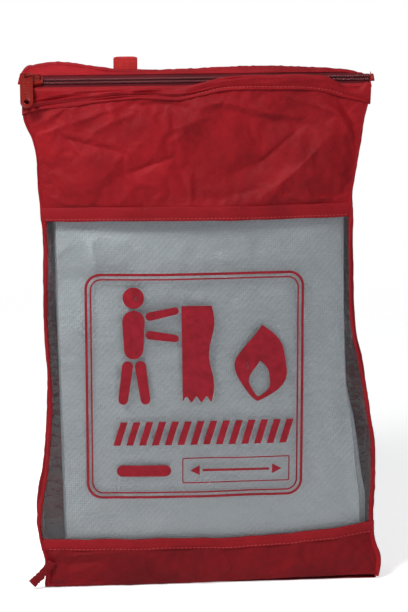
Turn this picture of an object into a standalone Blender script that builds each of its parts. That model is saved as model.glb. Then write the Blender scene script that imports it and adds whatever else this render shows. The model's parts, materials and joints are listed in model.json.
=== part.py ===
"""Zip pouch with a clear front window, holding a folded glass-fibre fire blanket.

Metres, +Z up. The pouch stands on its bottom gusset and its window faces -Y.
The origin is on the floor, under the middle of the whole object's box.
"""

import math

import bmesh
import bpy
from mathutils import Matrix, Vector

# ------------------------------------------------------------ driving sizes
DEPTH = 0.042  # front seam to back seam, outside
FRONT_SEAM_Z = 0.4125  # middle of the piping along the front top edge
BACK_SEAM_Z = 0.4310
HALF_WIDTHS = (  # height, then half of the pouch's width there
    (0.000, 0.141),
    (0.055, 0.139),
    (0.130, 0.133),
    (0.300, 0.127),
    (0.380, 0.142),
    (0.440, 0.150),
)
CLOTH = 0.0010  # a doubled and seamed nylon panel
FILM = 0.0005
GAP = 0.0003  # kept between pieces that touch
PIPING_R = 0.0022
WINDOW_BULGE = 0.0090  # how far the filled pouch's front swells past its seams

BAND_TOP = 0.0340  # top of the cloth band under the window
WINDOW_HEM = (0.3125, 0.3243)  # folded strip along the window's top edge
BAND_HEM = (0.0343, 0.0443)  # folded strip along the window's bottom edge
HEM_CLOTH = 0.0008
TUCK = 0.0025  # from a hem's closed edge to the film's edge inside it

ZIP_Y, ZIP_Z = -0.0080, 0.4225  # the chain's middle line
ZIP_TILT = math.radians(30.0)  # the chain leans towards the front
TAPE_SLIT = 0.00075  # half of the space that the slider's post runs in
TAPE_EDGE = 0.0098
TAPE = 0.0006
COIL_OUT, COIL_LOW, COIL_HIGH = 0.00305, 0.0006, 0.0024
ZIP_OPENING = 0.0065  # from the chain's middle to the cloth on either side
CHAIN_X = (-0.1420, 0.1340)
COIL_ROUNDING = 0.0006
STOP_LENGTH, STOP_HALF, STOP_ROUNDING = 0.0030, 0.0040, 0.0005
STRIP_TURNS = (0.0112, 0.0108)  # where the cloth turns off the tape, in front and at the back
SIDE_CLEARANCE = 0.0012  # from the tape's ends to the gussets

SLIDER_LENGTH, SLIDER_HALF_WIDE, SLIDER_HALF_NARROW = 0.0150, 0.0054, 0.0046
SLIDER_X = CHAIN_X[0] + 0.5 * SLIDER_LENGTH
SLIDER_BOTTOM, SLIDER_TOP = -0.0017, 0.0039
SLIDER_CORNERS = (0.0030, 0.0020)  # radii at the wide end and at the narrow end
SHOULDER_X = -0.0010  # where the slider begins to narrow
CHANNEL_HALF, CHANNEL_TOP = 0.0037, 0.0028  # the space that the coils run through
SLOT_HALF = 0.0007  # half the height of the slot that the tapes run out of
CUT_REACH = 0.0100  # the cuts run out past the slider by this
POST_X, POST_HALF, POST_Z = (-0.0065, -0.0025), 0.00045, (-0.0012, 0.0032)
BRIDGE_HALF, BRIDGE_BAR, BRIDGE_TOP = 0.0056, 0.0007, 0.0085
BRIDGE_FOOT, BRIDGE_BEND = 0.0032, 0.0016
PULL_PIVOT = 0.0066  # height above the tape where the bridge's left leg passes the eye
PULL_LENGTH, PULL_HALF, PULL_TOP, PULL_THICK = 0.0290, 0.0052, 0.0036, 0.0013
EYE_HALF, HOLE_R, PULL_CORNER = 0.0016, 0.0021, 0.0020
PULL_DIP = math.radians(17.0)  # the hanging pull dips this far below the zip's plane

BLANKET_SIZE = (0.241, 0.0326, 0.336)
BLANKET_CENTRE = (-0.002, 0.0)  # x and y
BLANKET_ROUNDING = 0.0060

TAIL_WIDTH, TAIL_LENGTH, TAIL_THICK = 0.0080, 0.0250, 0.0010
TAIL_X, TAIL_Z = -0.1335, 0.0130  # its middle
TAIL_SLOPE = math.radians(-48.0)

LOOP_X, WEBBING_WIDTH, WEBBING = -0.0600, 0.0190, 0.0013
LOOP_TOP, LOOP_DROP, LOOP_DEPTH = 0.4372, 0.0340, 0.0086
LOOP_BASE_LOW, WEBBING_ROUNDING = 0.4080, 0.0004

SEAM_Y = 0.5 * DEPTH - PIPING_R
PANEL_INSET = 2.0 * PIPING_R + GAP

RED = (0.46, 0.012, 0.022)
DARK_RED = (0.20, 0.006, 0.012)
MATERIALS = {  # colour, roughness
    "nylon": (RED, 0.55),
    "binding": ((0.52, 0.016, 0.026), 0.6),
    "zip": (DARK_RED, 0.5),
    "hardware": ((0.42, 0.020, 0.010), 0.35),
    "film": ((0.86, 0.88, 0.90), 0.08),
    "glass_cloth": ((0.62, 0.66, 0.66), 0.7),
}

for old in list(bpy.data.objects):
    bpy.data.objects.remove(old, do_unlink=True)

parts = bpy.data.collections.new("fire_blanket_pouch")
cutters = bpy.data.collections.new("cutters")
for collection in (parts, cutters):
    bpy.context.scene.collection.children.link(collection)


# ------------------------------------------------------------------- helpers
def material(name):
    found = bpy.data.materials.get(name)
    if found:
        return found
    colour, roughness = MATERIALS[name]
    made = bpy.data.materials.new(name)
    made.use_nodes = True
    shader = made.node_tree.nodes["Principled BSDF"]
    shader.inputs["Base Color"].default_value = (*colour, 1.0)
    shader.inputs["Roughness"].default_value = roughness
    shader.inputs["Metallic"].default_value = 0.0
    return made


def add_object(name, data, finish):
    made = bpy.data.objects.new(name, data)
    parts.objects.link(made)
    made.data.materials.append(material(finish))
    return made


def half_width(z):
    """Half of the pouch's width at a height, eased between the stations."""
    for (low, wide_low), (high, wide_high) in zip(HALF_WIDTHS, HALF_WIDTHS[1:]):
        if z <= high:
            share = max(0.0, z - low) / (high - low)
            return wide_low + (wide_high - wide_low) * share * share * (3.0 - 2.0 * share)
    return HALF_WIDTHS[-1][1]


def front_y(across, z):
    """The front's middle surface: across runs from -1 at the left seam to 1."""
    up = min(1.0, max(0.0, z / FRONT_SEAM_Z))
    swell = math.sin(math.pi * up) ** 0.7
    return -SEAM_Y - WINDOW_BULGE * swell * (1.0 - across * across)


def zip_point(across, above):
    """World y and z of a point given in the zip's own plane."""
    y = ZIP_Y + across * math.cos(ZIP_TILT) - above * math.sin(ZIP_TILT)
    z = ZIP_Z + across * math.sin(ZIP_TILT) + above * math.cos(ZIP_TILT)
    return y, z


def sheet(name, finish, columns, rows, place, thickness):
    """A grid whose points, -1 to 1 across and 0 to 1 up, are put where place says."""
    shape = bmesh.new()
    bmesh.ops.create_grid(shape, x_segments=columns, y_segments=rows, size=1.0)
    for vertex in shape.verts:
        vertex.co = place(vertex.co.x, 0.5 * (vertex.co.y + 1.0))
    mesh = bpy.data.meshes.new(name)
    shape.to_mesh(mesh)
    shape.free()
    mesh.shade_smooth()
    mesh.set_sharp_from_angle(angle=math.radians(40.0))
    made = add_object(name, mesh, finish)
    wall = made.modifiers.new("wall", "SOLIDIFY")
    wall.thickness = thickness
    wall.offset = 0.0
    return made


def along(path, share):
    """The point of a list of (y, z) corners at a share that lands on its corners."""
    place = share * (len(path) - 1)
    index = min(int(place + 1e-6), len(path) - 2)
    part = place - index
    (y0, z0), (y1, z1) = path[index], path[index + 1]
    return y0 + (y1 - y0) * part, z0 + (z1 - z0) * part


def piping(name, points, radius=PIPING_R):
    """A cord of folded binding along a line of points."""
    curve = bpy.data.curves.new(name, "CURVE")
    curve.dimensions = "3D"
    curve.bevel_depth = radius
    curve.bevel_resolution = 2
    curve.use_fill_caps = True
    spline = curve.splines.new("POLY")
    spline.points.add(len(points) - 1)
    for point, place in zip(spline.points, points):
        point.co = (*place, 1.0)
    return add_object(name, curve, "binding")


def outline(name, finish, loops, thickness):
    """A flat plate in XY from closed outlines, holes included."""
    curve = bpy.data.curves.new(name, "CURVE")
    curve.dimensions = "2D"
    curve.fill_mode = "BOTH"
    curve.extrude = 0.5 * thickness
    for loop in loops:
        spline = curve.splines.new("POLY")
        spline.points.add(len(loop) - 1)
        for point, (x, y) in zip(spline.points, loop):
            point.co = (x, y, 0.0, 1.0)
        spline.use_cyclic_u = True
    return add_object(name, curve, finish)


def as_mesh(source):
    """The same object as a welded mesh, so that it can be cut or joined."""
    graph = bpy.context.evaluated_depsgraph_get()
    mesh = bpy.data.meshes.new_from_object(source.evaluated_get(graph))
    shape = bmesh.new()
    shape.from_mesh(mesh)
    bmesh.ops.remove_doubles(shape, verts=shape.verts, dist=1e-6)
    bmesh.ops.transform(shape, matrix=source.matrix_world, verts=shape.verts)
    shape.to_mesh(mesh)
    shape.free()
    name = source.name
    bpy.data.objects.remove(source, do_unlink=True)
    made = bpy.data.objects.new(name, mesh)
    parts.objects.link(made)
    return made


def box(name, finish, low, high):
    """A box between two corners, as a mesh in place."""
    shape = bmesh.new()
    bmesh.ops.create_cube(shape, size=1.0)
    size = Vector(high) - Vector(low)
    middle = 0.5 * (Vector(high) + Vector(low))
    bmesh.ops.scale(shape, vec=size, verts=shape.verts)
    bmesh.ops.translate(shape, vec=middle, verts=shape.verts)
    mesh = bpy.data.meshes.new(name)
    shape.to_mesh(mesh)
    shape.free()
    return add_object(name, mesh, finish)


def rounded(target, width, segments=2):
    bevel = target.modifiers.new("rounding", "BEVEL")
    bevel.width = width
    bevel.segments = segments
    bevel.limit_method = "ANGLE"
    return target


def join(target, others, operation):
    """Unite with, or cut by, helper objects, which move with the target from then on."""
    for other in others:
        other.parent = target
        step = target.modifiers.new(operation.lower(), "BOOLEAN")
        step.operation = operation
        step.object = other
        other.hide_render = True
        other.display_type = "WIRE"
        for home in list(other.users_collection):
            home.objects.unlink(other)
        cutters.objects.link(other)
    return target


def arc(centre, radius, start, end, steps):
    """Points on an arc, in degrees."""
    turn = [math.radians(start + (end - start) * i / steps) for i in range(steps + 1)]
    return [(centre[0] + radius * math.cos(a), centre[1] + radius * math.sin(a)) for a in turn]


def in_zip_plane(made, x):
    """Turn an object from its own X, across and above axes into the zip's plane."""
    turn = Matrix.Rotation(ZIP_TILT, 4, "X")
    made.matrix_world = Matrix.Translation((x, ZIP_Y, ZIP_Z)) @ turn @ made.matrix_world
    return made


# ------------------------------------------------------------ pouch: panels
def panel_x(across, z):
    return across * (half_width(z) - PANEL_INSET)


def front_panel(name, finish, low, high, thickness, rows):
    def place(across, up):
        z = low + (high - low) * up
        return (panel_x(across, z), front_y(across, z), z)

    return sheet(name, finish, 12, rows, place, thickness)


def back_place(across, up):
    low = 2.0 * PIPING_R + 2.0 * GAP
    high = BACK_SEAM_Z - PIPING_R - GAP
    z = low + (high - low) * up
    return (panel_x(across, z), 0.5 * (DEPTH - CLOTH), z)


BAND_LOW = 2.0 * PIPING_R + 2.0 * GAP
FRONT_TOP = FRONT_SEAM_Z - PIPING_R - GAP
sheet("back_panel", "nylon", 1, 24, back_place, CLOTH)
front_panel("front_band", "nylon", BAND_LOW, BAND_TOP, CLOTH, 4)
front_panel("front_top_panel", "nylon", WINDOW_HEM[1] + GAP, FRONT_TOP, CLOTH, 8)
front_panel("window_film", "film", BAND_HEM[0] + TUCK, WINDOW_HEM[1] - TUCK, FILM, 16)


def folded_hem(name, closed, opening):
    """A strip folded over the film's edge, its two legs either side of the film."""
    leg = 0.5 * FILM + GAP + 0.5 * HEM_CLOTH
    end = closed + math.copysign(0.5 * HEM_CLOTH, opening - closed)
    path = ((-leg, opening), (-leg, end), (leg, end), (leg, opening))

    def place(across, up):
        out, z = along(path, up)
        return (panel_x(across, z), front_y(across, 0.5 * (closed + opening)) + out, z)

    return sheet(name, "binding", 12, 3, place, HEM_CLOTH)


folded_hem("window_top_hem", WINDOW_HEM[1], WINDOW_HEM[0])
folded_hem("window_bottom_hem", BAND_HEM[0], BAND_HEM[1])


# ----------------------------------------------------------- pouch: gussets
TOP_LINE = (
    (-SEAM_Y, FRONT_SEAM_Z + PIPING_R),
    zip_point(-0.0080, 0.0011),
    zip_point(0.0080, 0.0011),
    (SEAM_Y, BACK_SEAM_Z + 0.5 * PIPING_R),
)


def top_line(y):
    """Height of the closed top at a depth."""
    for (y0, z0), (y1, z1) in zip(TOP_LINE, TOP_LINE[1:]):
        if y <= y1:
            return z0 + (z1 - z0) * (y - y0) / (y1 - y0)
    return TOP_LINE[-1][1]


def side_gusset(name, side):
    low = CLOTH + GAP
    reach = SEAM_Y - PIPING_R - GAP

    def place(across, up):
        y = across * reach
        z = low + (top_line(y) - low) * up
        return (side * (half_width(z) - PIPING_R), y, z)

    return sheet(name, "nylon", 6, 24, place, CLOTH)


side_gusset("left_gusset", -1)
side_gusset("right_gusset", 1)

BOTTOM_HALF = half_width(0.0) - PIPING_R
bottom_reach = SEAM_Y - PIPING_R - GAP
box(
    "bottom_gusset",
    "nylon",
    (-BOTTOM_HALF, -bottom_reach, 0.0),
    (BOTTOM_HALF, bottom_reach, CLOTH),
)

TOP_HALF = half_width(ZIP_Z) - PIPING_R - 0.5 * CLOTH - GAP - SIDE_CLEARANCE


def top_strip(name, path):
    def place(across, up):
        y, z = along(path, up)
        return (across * TOP_HALF, y, z)

    return sheet(name, "nylon", 8, len(path) - 1, place, CLOTH)


STRIP_ABOVE = 0.5 * TAPE + GAP + 0.5 * CLOTH
top_strip(
    "top_gusset_front",
    (
        (-SEAM_Y - 0.0002, FRONT_SEAM_Z + PIPING_R + 2.0 * GAP),
        zip_point(-STRIP_TURNS[0], STRIP_ABOVE),
        zip_point(-ZIP_OPENING, STRIP_ABOVE),
    ),
)
top_strip(
    "top_gusset_back",
    (
        zip_point(ZIP_OPENING, STRIP_ABOVE),
        zip_point(STRIP_TURNS[1], STRIP_ABOVE),
        (SEAM_Y - PIPING_R - 2.0 * GAP, BACK_SEAM_Z + 0.0006),
    ),
)


# ----------------------------------------------------- pouch: seam bindings
def side_piping(name, side, y, top):
    low = 2.0 * PIPING_R + 2.0 * GAP
    steps = 24
    heights = [low + (top - low) * i / steps for i in range(steps + 1)]
    return piping(name, [(side * (half_width(z) - PIPING_R), y, z) for z in heights])


for label, side in (("left", -1), ("right", 1)):
    side_piping(f"front_{label}_binding", side, -SEAM_Y, FRONT_TOP)
    side_piping(f"back_{label}_binding", side, SEAM_Y, BACK_SEAM_Z - PIPING_R - GAP)


def cross_piping(name, y, z):
    reach = half_width(z)
    return piping(name, [(-reach, y, z), (0.0, y, z), (reach, y, z)])


cross_piping("front_top_binding", -SEAM_Y, FRONT_SEAM_Z)
cross_piping("back_top_binding", SEAM_Y, BACK_SEAM_Z)
cross_piping("front_bottom_binding", -SEAM_Y, PIPING_R + GAP)
cross_piping("back_bottom_binding", SEAM_Y, PIPING_R + GAP)

tail = box(
    "binding_tail",
    "binding",
    (-0.5 * TAIL_LENGTH, -0.5 * TAIL_THICK, -0.5 * TAIL_WIDTH),
    (0.5 * TAIL_LENGTH, 0.5 * TAIL_THICK, 0.5 * TAIL_WIDTH),
)
tail.location = (TAIL_X, -SEAM_Y - PIPING_R - GAP - TAIL_THICK, TAIL_Z)
tail.rotation_euler = (0.0, TAIL_SLOPE, 0.0)


# --------------------------------------------------------------------- zip
def tape(name, side):
    inner, outer = sorted((side * TAPE_SLIT, side * TAPE_EDGE))
    made = box(name, "zip", (-TOP_HALF, inner, -0.5 * TAPE), (TOP_HALF, outer, 0.5 * TAPE))
    return in_zip_plane(made, 0.0)


def coil(name, side):
    inner, outer = sorted((side * TAPE_SLIT, side * COIL_OUT))
    made = box(name, "zip", (CHAIN_X[0], inner, COIL_LOW), (CHAIN_X[1], outer, COIL_HIGH))
    return in_zip_plane(rounded(made, COIL_ROUNDING), 0.0)


def top_stop(name, side):
    inner, outer = sorted((side * TAPE_SLIT, side * STOP_HALF))
    end = CHAIN_X[0] - GAP
    low, high = (end - STOP_LENGTH, inner, COIL_LOW), (end, outer, COIL_HIGH)
    return in_zip_plane(rounded(box(name, "hardware", low, high), STOP_ROUNDING), 0.0)


for label, side in (("front", -1), ("back", 1)):
    tape(f"zip_tape_{label}", side)
    coil(f"zip_coil_{label}", side)
    top_stop(f"zip_top_stop_{label}", side)

start = CHAIN_X[1] + GAP
bottom_stop = box(
    "zip_bottom_stop",
    "hardware",
    (start, -STOP_HALF, COIL_LOW),
    (start + STOP_LENGTH, STOP_HALF, COIL_HIGH),
)
in_zip_plane(rounded(bottom_stop, STOP_ROUNDING), 0.0)

# ------------------------------------------------------------------ slider
half = 0.5 * SLIDER_LENGTH
wide, narrow = SLIDER_CORNERS
plan = (
    arc((-half + wide, SLIDER_HALF_WIDE - wide), wide, 180, 90, 3)
    + [(SHOULDER_X, SLIDER_HALF_WIDE)]
    + arc((half - narrow, SLIDER_HALF_NARROW - narrow), narrow, 90, 0, 3)
)
plan = plan + [(x, -y) for x, y in reversed(plan)]
body_height = SLIDER_TOP - SLIDER_BOTTOM
slider = outline("slider_body", "hardware", [plan], body_height)
slider.location.z = 0.5 * (SLIDER_TOP + SLIDER_BOTTOM)
bpy.context.view_layer.update()
slider = as_mesh(slider)



def through(name, half_across, low, high):
    """A cutter that runs through the slider from end to end."""
    corner = (CUT_REACH, half_across, high)
    return box(name, "hardware", (-CUT_REACH, -half_across, low), corner)


channel = through("channel", CHANNEL_HALF, -SLOT_HALF, CHANNEL_TOP)
tape_slot = through("tape_slot", CUT_REACH, -SLOT_HALF, SLOT_HALF)
post_low, post_high = zip(POST_X, (-POST_HALF, POST_HALF), POST_Z)
post = box("post", "hardware", post_low, post_high)
bend_x, bend_z = BRIDGE_HALF - BRIDGE_BEND, BRIDGE_TOP - BRIDGE_BEND
left_bend = arc((-bend_x, bend_z), BRIDGE_BEND, 180, 90, 3)
right_bend = arc((bend_x, bend_z), BRIDGE_BEND, 90, 0, 3)
bridge_path = [(-BRIDGE_HALF, 0.0, BRIDGE_FOOT)]
bridge_path += [(x, 0.0, z) for x, z in left_bend + right_bend]
bridge_path += [(BRIDGE_HALF, 0.0, BRIDGE_FOOT)]
bridge = as_mesh(piping("bridge", bridge_path, BRIDGE_BAR))
join(slider, [channel, tape_slot], "DIFFERENCE")
join(slider, [post, bridge], "UNION")
in_zip_plane(slider, SLIDER_X)

# -------------------------------------------------------------- pull tab
# Drawn round its eye, which the bridge's left leg passes through, its length down -Y.
shoulder = PULL_LENGTH - PULL_HALF
side, top = PULL_HALF - PULL_CORNER, PULL_TOP - PULL_CORNER
pull_outline = (
    arc((side, top), PULL_CORNER, 0, 90, 4)
    + arc((-side, top), PULL_CORNER, 90, 180, 4)
    + arc((0.0, -shoulder), PULL_HALF, 180, 360, 12)
)
eye = [(x * EYE_HALF, y * EYE_HALF) for x, y in ((1, 1), (-1, 1), (-1, -1), (1, -1))]
hole = arc((0.0, -shoulder), HOLE_R, 0, 330, 11)
pull = outline("pull_tab", "hardware", [pull_outline, eye, hole], PULL_THICK)
hang = Matrix.Rotation(PULL_DIP, 4, "X")
pull.matrix_world = Matrix.Translation((0.0, 0.0, PULL_PIVOT)) @ hang
in_zip_plane(pull, SLIDER_X - BRIDGE_HALF)

# --------------------------------------------------------------- hang loop
webbing_base_y = 0.5 * DEPTH + GAP
base = box(
    "hang_loop_base",
    "binding",
    (LOOP_X - 0.5 * WEBBING_WIDTH, webbing_base_y, LOOP_BASE_LOW),
    (LOOP_X + 0.5 * WEBBING_WIDTH, webbing_base_y + WEBBING, LOOP_TOP - GAP),
)
rounded(base, WEBBING_ROUNDING)
loop_front = webbing_base_y + WEBBING + GAP
outer_r = 0.5 * LOOP_DEPTH


def stadium(radius):
    """A closed strip outline: y across, z along, hanging below its top."""
    middle = loop_front + outer_r
    high, low = LOOP_TOP - outer_r, LOOP_TOP - LOOP_DROP + outer_r
    return arc((middle, high), radius, 0, 180, 10) + arc((middle, low), radius, 180, 360, 10)


loop = outline("hang_loop", "binding", [stadium(outer_r), stadium(outer_r - WEBBING)], WEBBING_WIDTH)
loop.matrix_world = Matrix(((0, 0, 1, LOOP_X), (1, 0, 0, 0), (0, 1, 0, 0), (0, 0, 0, 1)))

# ----------------------------------------------------------------- blanket
wide, deep, tall = BLANKET_SIZE
floor = CLOTH + GAP
blanket = box(
    "fire_blanket",
    "glass_cloth",
    (BLANKET_CENTRE[0] - 0.5 * wide, BLANKET_CENTRE[1] - 0.5 * deep, floor),
    (BLANKET_CENTRE[0] + 0.5 * wide, BLANKET_CENTRE[1] + 0.5 * deep, floor + tall),
)
rounded(blanket, BLANKET_ROUNDING, 3)
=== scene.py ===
# %% [markdown]
# # A fire blanket in its zip pouch
# This lesson dresses a plain mechanical model of a soft pouch as the real thing. The model, which the
# script calls the frame, knows where each piece is and how it moves. Each step below makes one piece or
# one finish around it: creased nylon, a clear vinyl window, a coil zip, and the folded glass cloth.

# %% Load the frame and keep its box
import json
import math

import bpy
import numpy as np
from mathutils import Matrix, Vector


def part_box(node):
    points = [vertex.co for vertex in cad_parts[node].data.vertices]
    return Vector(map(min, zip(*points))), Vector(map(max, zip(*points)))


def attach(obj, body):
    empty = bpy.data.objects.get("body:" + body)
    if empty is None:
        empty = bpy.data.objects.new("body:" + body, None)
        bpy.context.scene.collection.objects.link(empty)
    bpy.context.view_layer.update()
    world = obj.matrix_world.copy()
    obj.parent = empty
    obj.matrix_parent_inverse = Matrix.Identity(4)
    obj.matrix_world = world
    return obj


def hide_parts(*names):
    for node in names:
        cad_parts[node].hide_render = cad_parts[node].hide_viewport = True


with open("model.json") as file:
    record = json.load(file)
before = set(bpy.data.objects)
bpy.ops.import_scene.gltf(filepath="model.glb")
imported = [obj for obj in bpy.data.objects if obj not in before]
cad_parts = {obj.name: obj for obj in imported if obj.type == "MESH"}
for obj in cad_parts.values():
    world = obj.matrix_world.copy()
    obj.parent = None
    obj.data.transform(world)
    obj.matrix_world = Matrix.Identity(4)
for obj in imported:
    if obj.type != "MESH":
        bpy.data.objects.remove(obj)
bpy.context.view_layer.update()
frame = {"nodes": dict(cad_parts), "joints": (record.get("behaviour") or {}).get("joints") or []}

# %% [markdown]
# ## Places that every step shares
# The pouch's seams are read from the frame, so that each visible piece sits on the mechanical one. The
# outlines are the shape that the filled pouch takes: narrow at the waist, wide at its stiff top corners,
# and leaning a little to the right at the bottom. They are short lists of points, and a smooth curve runs
# through them.

# %% Seams from the frame, and the pouch's outlines
MM = 0.001
front_rim_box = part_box("front_top_binding")
back_rim_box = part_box("back_top_binding")
FRONT_Y = 0.5 * (front_rim_box[0].y + front_rim_box[1].y)
BACK_Y = 0.5 * (back_rim_box[0].y + back_rim_box[1].y)
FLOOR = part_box("bottom_gusset")[0].z
top_hem_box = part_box("window_top_hem")
low_hem_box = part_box("window_bottom_hem")
coil_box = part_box("zip_coil_front")
back_coil_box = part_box("zip_coil_back")
blanket_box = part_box("fire_blanket")
loop_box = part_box("hang_loop")
loop_base_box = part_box("hang_loop_base")
joint = {each["name"]: each for each in frame["joints"]}

LEFT_OUTLINE = (  # height and x of the pouch's left silhouette
    (0.000, -0.1325), (0.022, -0.1308), (0.042, -0.1358), (0.058, -0.1372), (0.077, -0.1354),
    (0.095, -0.1320), (0.112, -0.1300), (0.146, -0.1279), (0.180, -0.1272), (0.200, -0.1287),
    (0.231, -0.1294), (0.281, -0.1280), (0.314, -0.1297), (0.346, -0.1330), (0.363, -0.1338),
    (0.379, -0.1367), (0.395, -0.1432), (0.412, -0.1447),
)
RIGHT_OUTLINE = (
    (0.000, 0.1462), (0.008, 0.1476), (0.018, 0.1480), (0.034, 0.1430), (0.050, 0.1416),
    (0.087, 0.1420), (0.110, 0.1416), (0.124, 0.1408), (0.140, 0.1376), (0.174, 0.1328),
    (0.192, 0.1298), (0.210, 0.1250), (0.242, 0.1222), (0.276, 0.1210), (0.309, 0.1204),
    (0.330, 0.1204), (0.352, 0.1230), (0.375, 0.1262), (0.392, 0.1282), (0.413, 0.1336),
)
BACK_FLARE = 0.0050  # the back's top right corner reaches this far past the front's
SWELL = (  # height, and how far the filled front stands past its seams
    (0.000, 0.0010), (0.020, 0.0040), (0.050, 0.0065), (0.100, 0.0085), (0.200, 0.0095),
    (0.300, 0.0080), (0.330, 0.0060), (0.380, 0.0035), (0.412, 0.0012),
)


def cubic(a, b, slope_a, slope_b, t):
    """A cubic curve from a to b, with the slopes that it leaves and arrives with."""
    start = a * (1 + 2 * t) * (1 - t) ** 2 + slope_a * t * (1 - t) ** 2
    return start + b * t * t * (3 - 2 * t) + slope_b * t * t * (t - 1)


def smooth_line(points, at):
    """A smooth curve through (place, value) points, read at an array of places."""
    place, value = (np.array(column, float) for column in zip(*points))
    slope = np.gradient(value, place)
    at = np.asarray(at, float)
    i = np.clip(np.searchsorted(place, at) - 1, 0, len(place) - 2)
    gap = place[i + 1] - place[i]
    t = np.clip((at - place[i]) / gap, 0.0, 1.0)
    return cubic(value[i], value[i + 1], slope[i] * gap, slope[i + 1] * gap, t)


print("front seam y %.4f, back seam y %.4f" % (FRONT_Y, BACK_Y))

# %% [markdown]
# ## Camera, floor and light
# The pouch is seen from the front and slightly above, through a long lens, so that its sides stay
# parallel. The background is plain white and the floor nearly so. Nylon and vinyl show their shape by
# their highlights, so the light is one broad soft source from above on the left, a weak one on the right,
# and two small bright ones that make the short sparkles on the vinyl's wrinkles.

# %% Camera
VIEW_DOWN, VIEW_LEFT = math.radians(15.0), math.radians(4.5)
VIEW_DISTANCE = 2.00
FRAME_HEIGHT = 0.5012  # metres seen from top to bottom at the pouch
LOOK_AT = Vector((0.0016, 0.0, 0.2349))
camera_data = bpy.data.cameras.new("camera")
camera = bpy.data.objects.new("camera", camera_data)
bpy.context.scene.collection.objects.link(camera)
camera_data.sensor_fit = "VERTICAL"
camera_data.sensor_height = 36.0
camera_data.lens = camera_data.sensor_height * VIEW_DISTANCE / FRAME_HEIGHT
toward = Vector((0.0, -math.cos(VIEW_DOWN), math.sin(VIEW_DOWN)))
camera.location = LOOK_AT + VIEW_DISTANCE * (Matrix.Rotation(-VIEW_LEFT, 3, "Z") @ toward)
camera.rotation_euler = (math.radians(90.0) - VIEW_DOWN, 0.0, -VIEW_LEFT)
bpy.context.scene.camera = camera
bpy.context.scene.view_settings.view_transform = "Standard"
print("lens %.0f mm" % camera_data.lens)


# %% Helpers for nodes and materials
def nodes_of(material):
    material.use_nodes = True
    return material.node_tree, material.node_tree.nodes["Principled BSDF"]


def settings(made, **values):
    """Set a node's inputs by name, with _ for a space, and its other properties by attribute."""
    for name, value in values.items():
        plain = name.replace("_", " ")
        if plain in made.inputs:
            made.inputs[plain].default_value = value
        else:
            setattr(made, name, value)
    return made


def node(tree, kind, **values):
    return settings(tree.nodes.new(kind), **values)


def wire(tree, source, output, target, entry):
    tree.links.new(source.outputs[output], target.inputs[entry])


# %% Floor, world and lights
world = bpy.data.worlds.new("studio")
bpy.context.scene.world = world
world.use_nodes = True
sky = world.node_tree
seen = node(sky, "ShaderNodeBackground", Color=(1.0, 1.0, 1.0, 1.0), Strength=1.0)
lit = settings(sky.nodes["Background"], Color=(0.93, 0.96, 1.0, 1.0), Strength=0.17)
ray = node(sky, "ShaderNodeLightPath")
choose = node(sky, "ShaderNodeMixShader")
wire(sky, ray, "Is Camera Ray", choose, "Fac")
wire(sky, lit, 0, choose, 1)
wire(sky, seen, 0, choose, 2)
wire(sky, choose, 0, sky.nodes["World Output"], "Surface")

FLOOR_GAP = 0.0002
FLOOR_GLOW = 0.55
floor_place = (0.0, 0.0, FLOOR - FLOOR_GAP)
bpy.ops.mesh.primitive_circle_add(vertices=96, radius=1.2, fill_type="NGON", location=floor_place)
floor = bpy.context.object
floor.name = "floor"
floor_material = bpy.data.materials.new("white_floor")
floor_tree, floor_shader = nodes_of(floor_material)
settings(floor_shader, Base_Color=(0.93, 0.93, 0.93, 1.0), Roughness=0.9, Emission_Color=(1.0, 1.0, 1.0, 1.0))
# the glow is only seen by the camera, so that it doesn't light the pouch from below
direct = node(floor_tree, "ShaderNodeLightPath")
glow = node(floor_tree, "ShaderNodeMath", operation="MULTIPLY")
glow.inputs[1].default_value = FLOOR_GLOW
wire(floor_tree, direct, "Is Camera Ray", glow, 0)
wire(floor_tree, glow, 0, floor_shader, "Emission Strength")
# the floor fades out towards its rim
spot = node(floor_tree, "ShaderNodeTexCoord")
far = node(floor_tree, "ShaderNodeVectorMath", operation="LENGTH")
wire(floor_tree, spot, "Object", far, "Vector")
fade = node(floor_tree, "ShaderNodeMapRange", interpolation_type="SMOOTHSTEP")
settings(fade, From_Min=0.35, From_Max=1.1, To_Min=1.0, To_Max=0.0)
wire(floor_tree, far, "Value", fade, "Value")
wire(floor_tree, fade, "Result", floor_shader, "Alpha")
floor.data.materials.append(floor_material)


LIGHT_AIM = Vector((0.0, 0.0, 0.22))


def area_light(name, place, size, power, colour=(1.0, 1.0, 1.0)):
    """A square soft light that faces the middle of the pouch."""
    data = bpy.data.lights.new(name, "AREA")
    data.size = size
    data.energy = power
    data.color = colour
    lamp = bpy.data.objects.new(name, data)
    bpy.context.scene.collection.objects.link(lamp)
    lamp.location = place
    lamp.rotation_euler = (LIGHT_AIM - Vector(place)).to_track_quat("-Z", "Y").to_euler()


area_light("key", (-0.62, -0.70, 1.15), 0.38, 15.5)
area_light("fill", (1.1, -1.2, 1.1), 0.9, 3.6, (0.92, 0.96, 1.0))
area_light("top", (0.1, 0.3, 1.5), 0.6, 3.0)
for label, place in (("sparkle_left", (-0.30, -1.5, 0.10)), ("sparkle_right", (0.62, -1.4, 0.16))):
    area_light(label, place, 0.028, 1.0, (0.93, 0.90, 1.0))
print("floor, world and five lights are ready")

# %% [markdown]
# ## Tools for soft pieces
# Cloth is thin and follows seams, so nearly every soft piece here starts as Blender's grid primitive.
# Its points are then moved by a formula that knows how far across and how far up each point is. That
# keeps the threads of the cloth running along the grid, and the pattern of the weave follows them,
# because the grid's own UV map is scaled to metres. A tube is the same grid rolled up and welded.


def deselect():
    if bpy.context.object and bpy.context.object.mode != "OBJECT":
        bpy.ops.object.mode_set(mode="OBJECT")
    bpy.ops.object.select_all(action="DESELECT")


def only(piece):
    deselect()
    piece.select_set(True)
    bpy.context.view_layer.objects.active = piece


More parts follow.
